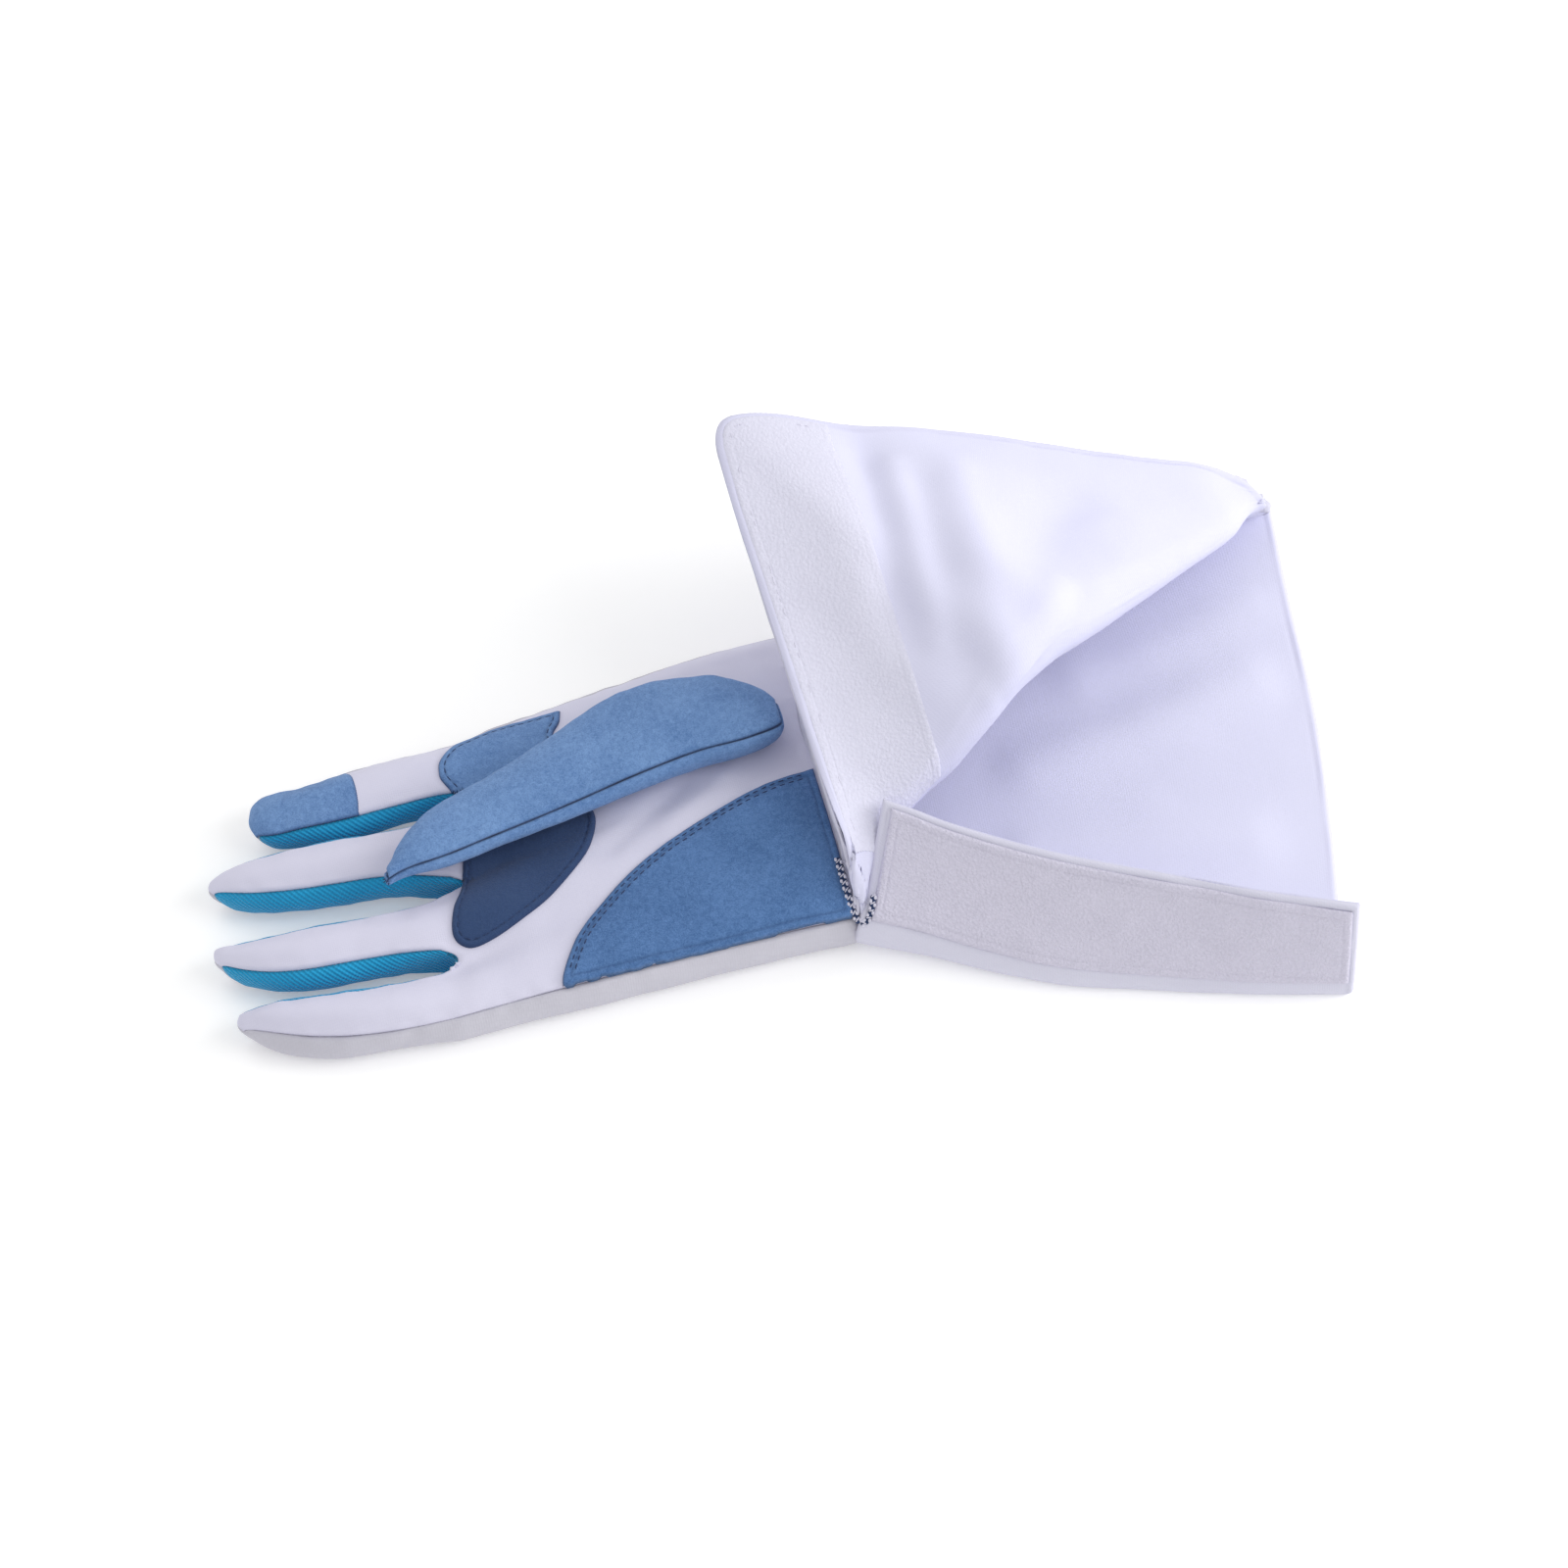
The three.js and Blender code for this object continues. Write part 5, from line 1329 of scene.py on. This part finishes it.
def build_cuff():
    cuff = Skin()
    stations = []
    to_crease = lambda x, y: ((Vector((x, y)) - SLIT).dot(WAY), (Vector((x, y)) - SLIT).dot(ACROSS))
    end_t = to_crease(0, WRIST_RADIAL_Y)[0]
    for i in range(WRIST_STATIONS):
        t = mix(CREASE_START * CREASE.length, end_t, i / WRIST_STATIONS)
        w = (-SLIT.x - t * WAY.x) / ACROSS.x
        y = SLIT.y + t * WAY.y + w * ACROSS.y
        share = (y - WRIST_ULNAR_Y) / (WRIST_RADIAL_Y - WRIST_ULNAR_Y)
        stations.append((t, w, palm_height(min(1, max(0, share)), PALM_ROWS[0][1]) - SHELL / 2))
    for share in RADIAL_SHARES:
        t, w = to_crease(mix(0, CUFF_LENGTH, share), mix(WRIST_RADIAL_Y, RIM_RADIAL_Y, share))
        stations.append((t, w, RADIAL_SEAM_HEIGHT))
    kite, runs = [], []
    for t, w, z in stations:
        share = t / CREASE.length
        radius = read_table(CREASE_ROWS, 2, share) * ROLL_RADIUS
        inset = read_table(CREASE_ROWS, 3, share) * ROLL_RADIUS
        centre = Vector((-radius - inset, read_table(CREASE_ROWS, 1, share) * ROLL_HEIGHT))
        station, end = Vector((w, z)), flap_end(t)

        def tangent(p, turn):
            d = p - centre
            return math.atan2(d.y, d.x) + turn * math.acos(min(1, radius / d.length))

        start, finish = tangent(station, 1), tangent(end, -1)
        while start < 0:
            start += 2 * math.pi
        while finish < start:
            finish += 2 * math.pi
        on_roll = lambda a: centre + Vector((math.cos(a), math.sin(a))) * radius
        low, high = on_roll(start), on_roll(finish)
        span = (low - station).length
        line = []
        for i in range(ATTACHED_STEPS):
            s = i / ATTACHED_STEPS
            bow = 5 * min(1, span / FLAP_REACH) * math.sin(math.pi * s)
            line.append(station.lerp(low, s) + Vector((0, bow)))
        for i in range(ROLL_STEPS + 1):
            line.append(on_roll(mix(start, finish, i / ROLL_STEPS)))
        for i in range(1, FLAP_STEPS + 1):
            s = i / FLAP_STEPS
            line.append(high.lerp(end, s) + Vector((0, flap_fold(share, s))))
        open_out = min(1, max(0, (share - 0.9) / 0.1))
        open_out = open_out * open_out * (3 - 2 * open_out)
        for i, p in enumerate(line):
            s = i / KITE_LAST
            plain = station.lerp(end, s) + Vector((2.0, 0)) * math.sin(math.pi * s)
            line[i] = p.lerp(plain, open_out)
        run = [0.0]
        for a, b in zip(line, line[1:]):
            run.append(run[-1] + (b - a).length * 0.001)
        runs.append([(t * 0.001, r) for r in run])
        kite.append(
            [cuff.point(*(SLIT + WAY * t + ACROSS * p.x), p.y) for p in line]
        )
    foot_tip = cuff.point(1.4, WRIST_ULNAR_Y - 1.2, 12.6)
    for c in range(KITE_LAST):
        panel = FLAP if c >= ATTACHED_STEPS + 4 else ATTACHED
        start = (0.0, runs[0][c][1])
        cuff.quad(panel, (foot_tip, kite[0][c + 1], kite[0][c]), (start, runs[0][c + 1], runs[0][c]))
    for i in range(len(kite) - 1):
        for c in range(KITE_LAST):
            panel = FLAP if c >= ATTACHED_STEPS + 4 else ATTACHED
            cuff.quad(
                panel,
                (kite[i][c], kite[i][c + 1], kite[i + 1][c + 1], kite[i + 1][c]),
                (runs[i][c], runs[i][c + 1], runs[i + 1][c + 1], runs[i + 1][c]),
            )
    rows, places = [], []
    for j, share in enumerate(RADIAL_SHARES):
        first = kite[WRIST_STATIONS + j][0]
        seam = cuff.points[first].copy()
        line = [first]
        line.append(cuff.point(seam.x, seam.y + SIDE_BULGE, seam.z * 0.55))
        line.append(cuff.point(seam.x, seam.y + SIDE_BULGE * 0.4, CUFF_FLOOR))
        read = lambda column: read_table(UNDERLAP_ROWS, column, share)
        ulnar_x = share * UNDERLAP_LENGTH
        out_y = WRIST_ULNAR_Y - SIDE_BULGE + SHELL - read(1) * RIM_WIDTH
        for i in range(1, BACK_STEPS + 1):
            s = i / BACK_STEPS
            bow = 7.5 * share * math.sin(math.pi * s**0.7)
            x, y = mix(seam.x, ulnar_x, s) + bow, mix(seam.y - SIDE_BULGE, out_y + SIDE_BULGE * 2, s)
            line.append(cuff.point(x, y, CUFF_FLOOR))
        line.append(cuff.point(ulnar_x, out_y, max(CUFF_FLOOR, read(2) * STRIP_WIDTH)))
        foot = Vector((ulnar_x + max(0, 1 - share / 0.12) * SLIT_GAP, out_y - 0.6, read(3) * STRIP_WIDTH))
        line.append(cuff.point(*foot))
        for i in range(1, HOOK_STEPS + 1):
            s = i / HOOK_STEPS
            line.append(
                cuff.point(
                    foot.x + read(6) * STRIP_WIDTH * s,
                    foot.y + read(4) * STRIP_WIDTH * s,
                    mix(foot.z, read(5) * STRIP_WIDTH, s),
                )
            )
        run = [0.3]
        for a, b in zip(line, line[1:]):
            run.append(run[-1] + (cuff.points[b] - cuff.points[a]).length * 0.001)
        places.append([(seam.x * 0.001, r) for r in run])
        rows.append(line)
    last = len(rows[0]) - 1
    for j in range(len(rows) - 1):
        for c in range(last):
            panel = UNDERLAP if c >= last - HOOK_STEPS else CUFF_BACK
            here, after, here_at, after_at = rows[j], rows[j + 1], places[j], places[j + 1]
            cuff.quad(
                panel,
                (here[c], after[c], after[c + 1], here[c + 1]),
                (here_at[c], after_at[c], after_at[c + 1], here_at[c + 1]),
            )
    # The rim's corner bulges, the flap's tip draws in, and the crease behind it lifts
    for p in cuff.points:
        held = Vector((min(p.x, CUFF_LENGTH), p.y, p.z))
        p.x += 10.5 * nearness(held, (CUFF_LENGTH, 60, 5), (24, 16, 11))
        p.x -= 9.0 * nearness(p, (178, 62, 24), (14, 14, 13))
        p += Vector((0, 2.5, 3.0)) * nearness(p, (155, 65, 30), (16, 12, 12))
    return smooth_skin(cuff, 3)


cuff = build_cuff()

# Soft folds of the flap and of the sheet under it: from, to, depth away from the lining, width
CUFF_FOLDS = [
    (Vector((36, 66, 73)), Vector((33, 0, 62)), 2.8, 7.5),
    (Vector((43, 60, 72)), Vector((40, -4, 63)), -1.8, 5.0),
    (Vector((51, 50, 72)), Vector((48, -14, 57)), 2.0, 8.0),
    (Vector((63, 54, 68)), Vector((57, -6, 62)), -1.4, 7.0),
    (Vector((83, 10, 60)), Vector((55, -22, 52)), -1.3, 6.0),
    (Vector((92, 8, 56)), Vector((62, -24, 47)), 1.8, 6.5),
    (Vector((104, 50, 54)), Vector((84, 26, 63)), 1.2, 9.0),
    (Vector((132, 48, 42)), Vector((112, 30, 48)), -0.8, 7.0),
    (Vector((70, -15, 3)), Vector((148, 2, 3)), -2.0, 10.0),
    (Vector((62, -46, 3)), Vector((128, -58, 3)), -1.6, 9.0),
    (Vector((96, 18, 3)), Vector((158, 34, 3)), -1.4, 9.0),
]
soften(cuff, 0.9, 45.0, 0.25, 9.0, 5.0, CUFF_FOLDS, 11.3)
lean_seam(cuff)
RIM_CORNER = Vector((167, 63, 19))
RIM_SPREAD = (10, 11, 7)
RIM_BULGE = 4.5
for v in cuff.verts:
    v.co.x += RIM_BULGE * nearness(v.co, RIM_CORNER, RIM_SPREAD)
keep_normals(cuff)
for v in cuff.verts:
    v.co.z = max(v.co.z, CUFF_FLOOR)

FOOT = Vector((2, -66, 13))
SPARED = [(FOOT, 14.0), WRIST_END]
# Places to iron: centre, reach, rounds, lowest height
SLIT_PRESS = (Vector((1, -56, 27)), 18, 30, 14)
RIM_PRESS = (Vector((165, 65, 23)), 15, 40, 5)
# Hems of the shell and the lining; the third column is the painted shade of the hem and its stitch groove
HEM_OUT = [
    (0, -1.1, 0.3),
    (0.5, -0.4, 0.25),
    (1.1, 0.0, 0.25),
    (2.1, 0.08, 0.25),
    (2.6, -0.25, 0.55),
    (2.9, 0.0, 0.05),
]
HEM_IN = [(gap, -move, tone) for gap, move, tone in HEM_OUT]


def cuff_sheet(distance, hem):
    sheet = take_panel(cuff, FLAP, ATTACHED, CUFF_BACK, UNDERLAP)
    shift_out(sheet, distance)
    dress_edge(sheet, hem, 1, SPARED)
    iron(sheet, *SLIT_PRESS)
    iron(sheet, *RIM_PRESS)
    return sheet


shell = cuff_sheet(CUFF_FLOOR, HEM_OUT)
for v in shell.verts:
    v.co.z = max(v.co.z, 0.0)
lining = cuff_sheet(-SHEET_HALF_GAP - LINING, HEM_IN)
bmesh.ops.reverse_faces(lining, faces=lining.faces[:])

# Loop strip along the flap's slit edge
SLIT_WAY = (WAY * (FLAP_CORNER * CREASE.length) + ACROSS * -FLAP_REACH).normalized()
SLIT_SIDE = Vector((-SLIT_WAY.y, SLIT_WAY.x))
LOOP_FOOT_GAP = 20
LOOP_RISE = 0.4
LOOP_EDGE = [
    (0, 0.45, 0.08),
    (0.4, 0.2, 0.0),
    (1.0, 0.05, 0.0),
    (2.6, 0.0, 0.0),
    (3.1, 0.12, 0.12),
    (3.6, 0.0, 0.0),
    (5.0, 0.0, 0.0),
]


def at_slit(e):
    middle = (e.verts[0].co + e.verts[1].co) / 2
    return abs((middle.xy - SLIT).dot(SLIT_SIDE)) < 2.5 and middle.z > 14


def at_rim(e):
    middle = (e.verts[0].co + e.verts[1].co) / 2
    return abs((middle.xy - SLIT).dot(SLIT_SIDE)) >= 2.5 and middle.y > 40


loop = take_panel(cuff, FLAP)
slit_tree, rim_tree = edge_tree(loop, at_slit), edge_tree(loop, at_rim)
cut_where(loop, lambda p: slit_tree.find(p)[2] - STRIP_MARGIN)
cut_where(loop, lambda p: STRIP_MARGIN + STRIP_WIDTH - slit_tree.find(p)[2])
cut_where(loop, lambda p: rim_tree.find(p)[2] - STRIP_MARGIN)
cut_where(loop, lambda p: (p - FOOT).length - LOOP_FOOT_GAP)
shift_out(loop, -SHEET_HALF_GAP - LINING - LOOP_RISE)
dress_edge(loop, LOOP_EDGE, 2)
iron(loop, *SLIT_PRESS)
bmesh.ops.reverse_faces(loop, faces=loop.faces[:])

# Hook strip on the underlap
TAB_MARGIN = 3.6
HOOK_EDGE = [
    (0, -0.9, 0.3),
    (0.4, -0.3, 0.15),
    (1.0, 0.0, 0.0),
    (2.3, 0.0, 0.05),
    (2.8, -0.25, 0.35),
    (3.3, 0.0, 0.05),
    (4.5, 0.0, 0.0),
]


def at_tab_side(e):
    a, b = (v.co for v in e.verts)
    return abs((a - b).x) < 0.5 * (a - b).length and (a + b).x < 50


hook = take_panel(cuff, UNDERLAP)
hem_tree = edge_tree(hook)
tab_side = edge_tree(hook, at_tab_side)
cut_where(hook, lambda p: hem_tree.find(p)[2] - STRIP_MARGIN)
cut_where(hook, lambda p: tab_side.find(p)[2] - TAB_MARGIN)
shift_out(hook, CUFF_FLOOR + LAYER_GAP + HOOK_THICKNESS * 0.7)
dress_edge(hook, HOOK_EDGE, 2)

lining_surface, loop_surface, hook_surface = surface_of(lining), surface_of(loop), surface_of(hook)

# Stitches


def edge_lines(part):
    """Rows of points round a panel's edges, each with the way in"""
    left = {e: True for e in part.edges if e.is_boundary}
    lines = []
    while left:
        e = next(iter(left))
        del left[e]
        here = e.verts[1]
        line = [(e.verts[0].co.copy(), e), (here.co.copy(), e)]
        while True:
            e = next((x for x in here.link_edges if x in left), None)
            if e is None:
                break
            del left[e]
            here = e.other_vert(here)
            line.append((here.co.copy(), e))
        lines.append(line)
    return lines


def inside_line(part, surface, distance, keep):
    """Lines on a panel at one distance from its edge, where keep allows"""
    tree = edge_tree(part)
    out = []
    for line in edge_lines(part):
        run = []
        for p, e in line:
            face = e.link_faces[0]
            way = (e.verts[1].co - e.verts[0].co).normalized()
            inward = face.calc_center_median() - (e.verts[0].co + e.verts[1].co) / 2
            inward = (inward - way * inward.dot(way)).normalized()
            q = surface.find_nearest(p + inward * distance)[0]
            if keep(p) and tree.find(q)[2] > distance * 0.85:
                run.append(q)
                continue
            if len(run) > 3:
                out.append(run)
            run = []
        if len(run) > 3:
            out.append(run)
    return out


def sew(bm, line, surface, length, gap, width, toward, sink=0.12):
    """Short stitches along a line on a surface"""
    places = smooth_line(line, length + gap)
    for k, (a, b) in enumerate(zip(places, places[1:])):
        hit, normal, _, _ = surface.find_nearest((a + b) / 2)
        if normal.dot(toward) < 0:
            normal = -normal
        way = b - a
        way = (way - normal * way.dot(normal)).normalized()
        lean = noise.noise(hit / 2.3) * 0.12
        side = normal.cross(way)
        way = (way + side * lean).normalized()
        side = normal.cross(way)
        place = Matrix((side * width / 2, normal * width * 0.45, way * length / 2)).transposed().to_4x4()
        place.translation = hit + normal * (width * 0.25 - sink)
        bmesh.ops.create_uvsphere(bm, u_segments=6, v_segments=5, radius=1.0, matrix=place)


UP = Vector((0, 0, 1))
TOWARD_VIEW = Vector((-0.1, -0.5, 0.85))
TOWARD_TAB = Vector((-0.3, -0.8, 0.4))
WHITE_WIDTH = 0.42


# The hem's row runs along the flap and the rim, clear of the slit's foot and of the rim's corner
def on_hem_row(p):
    clear = (p - FOOT).length > 30 and (p - RIM_CORNER).length > 17
    return clear and (p.x > 3 and p.z > 10 or p.x > 120)


def on_loop_row(p):
    return (p - FOOT).length > 27 and min(slit_tree.find(p)[2], rim_tree.find(p)[2]) < 6


white_sewing = bmesh.new()
for line in inside_line(lining, lining_surface, 2.75, on_hem_row):
    sew(white_sewing, line, lining_surface, 2.1, 0.7, WHITE_WIDTH, TOWARD_VIEW)
for line in inside_line(loop, loop_surface, 3.1, on_loop_row):
    sew(white_sewing, line, loop_surface, 2.0, 0.9, WHITE_WIDTH, TOWARD_VIEW)
for line in inside_line(hook, hook_surface, 2.8, lambda p: True):
    sew(white_sewing, line, hook_surface, 1.9, 0.9, WHITE_WIDTH, TOWARD_TAB)

blue_sewing = bmesh.new()
heel_line = smooth_line(heel_curve, 1.0)
for distance in (1.7, 3.3):
    row = []
    for before, p, after in zip(heel_line, heel_line[1:], heel_line[2:]):
        way = (after - before).normalized()
        q = p + Vector((way.y, -way.x)) * distance
        if not is_inside(q, heel_outline):
            q = p - Vector((way.y, -way.x)) * distance
        row.append(q)
    row = [drop_on(heel_surface, q.x, q.y)[0] for q in row[3:-4]]
    sew(blue_sewing, row, heel_surface, 2.0, 0.9, 0.45, UP, 0.05)
tongue_row = offset_line(tongue_outline, outline_tree(tongue_outline), 1.8)
line = [drop_on(tongue_surface, p.x, p.y)[0] for p in tongue_row[::2]]
sew(blue_sewing, line, tongue_surface, 2.0, 1.0, 0.4, UP, 0.08)

# Overlock over the slit's lower end: a dark band of thread with white beads and crossings
overlock_white, overlock_blue = bmesh.new(), bmesh.new()


def bead(target, place, side, normal, way, sizes):
    shape = Matrix((side * sizes[0], normal * sizes[1], way * sizes[2])).transposed().to_4x4()
    shape.translation = place
    bmesh.ops.create_uvsphere(target, u_segments=7, v_segments=6, radius=1.0, matrix=shape)


hand_leg = []
for x, y in ((-1.3, -47.5), (-1.3, -52), (-1.2, -56), (-0.9, -60), (-0.3, -63.6)):
    hand_leg.append(drop_on(heel_surface, x, y)[0])
hand_leg.append(Vector((0.9, -67.2, 12.4)))
tab_leg = [Vector(p) for p in ((0.9, -67.2, 12.4), (3.0, -67.4, 14.0), (4.9, -65.6, 17.0), (6.2, -62.4, 20.2))]
for leg, reach in ((smooth_line(hand_leg, 1.2), 1.0), (smooth_line(tab_leg, 1.2), 0.9)):
    for k in range(1, len(leg) - 1):
        way = (leg[k + 1] - leg[k - 1]).normalized()
        normal = (TOWARD_VIEW - way * TOWARD_VIEW.dot(way)).normalized()
        side = way.cross(normal)
        stray = noise.noise(leg[k] * 1.7)
        bead(overlock_blue, leg[k] + normal * 0.3, side, normal, way, (reach * 1.1, 0.45, 0.8))
        place = leg[k] + normal * 0.62 + side * reach * (0.7 if k % 2 else -0.7)
        bead(overlock_white, place, side, normal, way, (0.5, 0.4, 0.62 + 0.2 * stray))
        if k % 2:
            slant = (side + way * (0.7 + 0.4 * stray)).normalized()
            place = leg[k] + way * 0.6 + normal * 0.66
            bead(overlock_white, place, normal.cross(slant), normal, slant, (0.26, 0.26, reach))

# Pinched end of the thumb's seam, with the ends of its thread
tuft = bmesh.new()
tip = Vector((THUMB_TIP_X + 0.6, THUMB_ROWS[0][1] * THUMB_WIDTH + 1.2, THUMB_ROWS[0][3] * THUMB_LIFT + 0.4))
for k, (x, y, z) in enumerate(((-1, -0.5, -0.2), (-0.7, -1, 0.1), (-0.4, -1.1, -0.5), (-1, 0.2, -0.4))):
    way = Vector((x, y, z)).normalized()
    side = way.orthogonal().normalized()
    place = Matrix((side * 0.24, way.cross(side) * 0.24, way * 1.5)).transposed().to_4x4()
    place.translation = tip + way * 0.9
    bmesh.ops.create_uvsphere(tuft, u_segments=6, v_segments=5, radius=1.0, matrix=place)

shell_piece = make_piece("cuff_outside", shell, CUFF_CLOTH, ["cuff_shell"], SHELL_WALL)
lining_piece = make_piece("cuff_inside", lining, LINING_CLOTH, ["cuff_lining"], LINING_WALL)
loop_piece = make_piece("loop_felt_strip", loop, LOOP_FELT, ["loop_strip"], LOOP_WALL)
hook_piece = make_piece("hook_tape_strip", hook, HOOK_TAPE, ["hook_strip"], HOOK_THICKNESS)
make_piece("sewing_white", white_sewing, WHITE_THREAD)
make_piece("sewing_blue", blue_sewing, BLUE_THREAD)
make_piece("overlock_white", overlock_white, WHITE_THREAD, ["slit_overlock"])
make_piece("overlock_blue", overlock_blue, BLUE_THREAD)
make_piece("thumb_tuft", tuft, BLUE_THREAD)

# Floor, light and camera

floor_mesh = bpy.data.meshes.new("floor")
floor_bm = bmesh.new()
bmesh.ops.create_grid(floor_bm, x_segments=1, y_segments=1, size=6.0)
for v in floor_bm.verts:
    v.co.z = -0.0002
floor_bm.to_mesh(floor_mesh)
floor_bm.free()
floor = bpy.data.objects.new("floor", floor_mesh)
bpy.context.scene.collection.objects.link(floor)
floor_look, _, floor_shader = new_material("floor", 0.9)
floor_shader.inputs["Base Color"].default_value = (0.92, 0.92, 0.92, 1)
floor_shader.inputs["Emission Color"].default_value = (1, 1, 1, 1)
floor_shader.inputs["Emission Strength"].default_value = 0.18
floor_mesh.materials.append(floor_look)

world = bpy.data.worlds.new("studio")
bpy.context.scene.world = world
world.use_nodes = True
world.node_tree.nodes["Background"].inputs["Color"].default_value = (1, 1, 1, 1)
world.node_tree.nodes["Background"].inputs["Strength"].default_value = 0.74


def add_light(name, place, aim, size, watts):
    light = bpy.data.lights.new(name, "AREA")
    light.shape = "DISK"
    light.size = size
    light.energy = watts
    obj = bpy.data.objects.new(name, light)
    obj.location = place
    obj.rotation_euler = (Vector(aim) - Vector(place)).to_track_quat("-Z", "Y").to_euler()
    bpy.context.scene.collection.objects.link(obj)


add_light("key", (-0.5, 1.0, 1.3), (0, 0, 0), 1.0, 3)
add_light("fill", (1.2, -0.6, 1.2), (0, 0, 0), 1.2, 7)
add_light("low fill", (1.4, -0.1, 0.5), (0.12, 0, 0), 0.8, 8)

TARGET = Vector((2.35, 20.69, 0)) * 0.001
AZIMUTH, ELEVATION, DISTANCE = math.radians(-14), math.radians(52), 1.166
toward = Vector(
    (
        math.sin(AZIMUTH) * math.cos(ELEVATION),
        -math.cos(AZIMUTH) * math.cos(ELEVATION),
        math.sin(ELEVATION),
    )
)
lens = bpy.data.cameras.new("camera")
lens.lens = 85
lens.sensor_width = 36
camera = bpy.data.objects.new("camera", lens)
camera.location = TARGET + toward * DISTANCE
camera.rotation_euler = (-toward).to_track_quat("-Z", "Y").to_euler()
bpy.context.scene.collection.objects.link(camera)
bpy.context.scene.camera = camera
bpy.context.scene.view_settings.view_transform = "Standard"
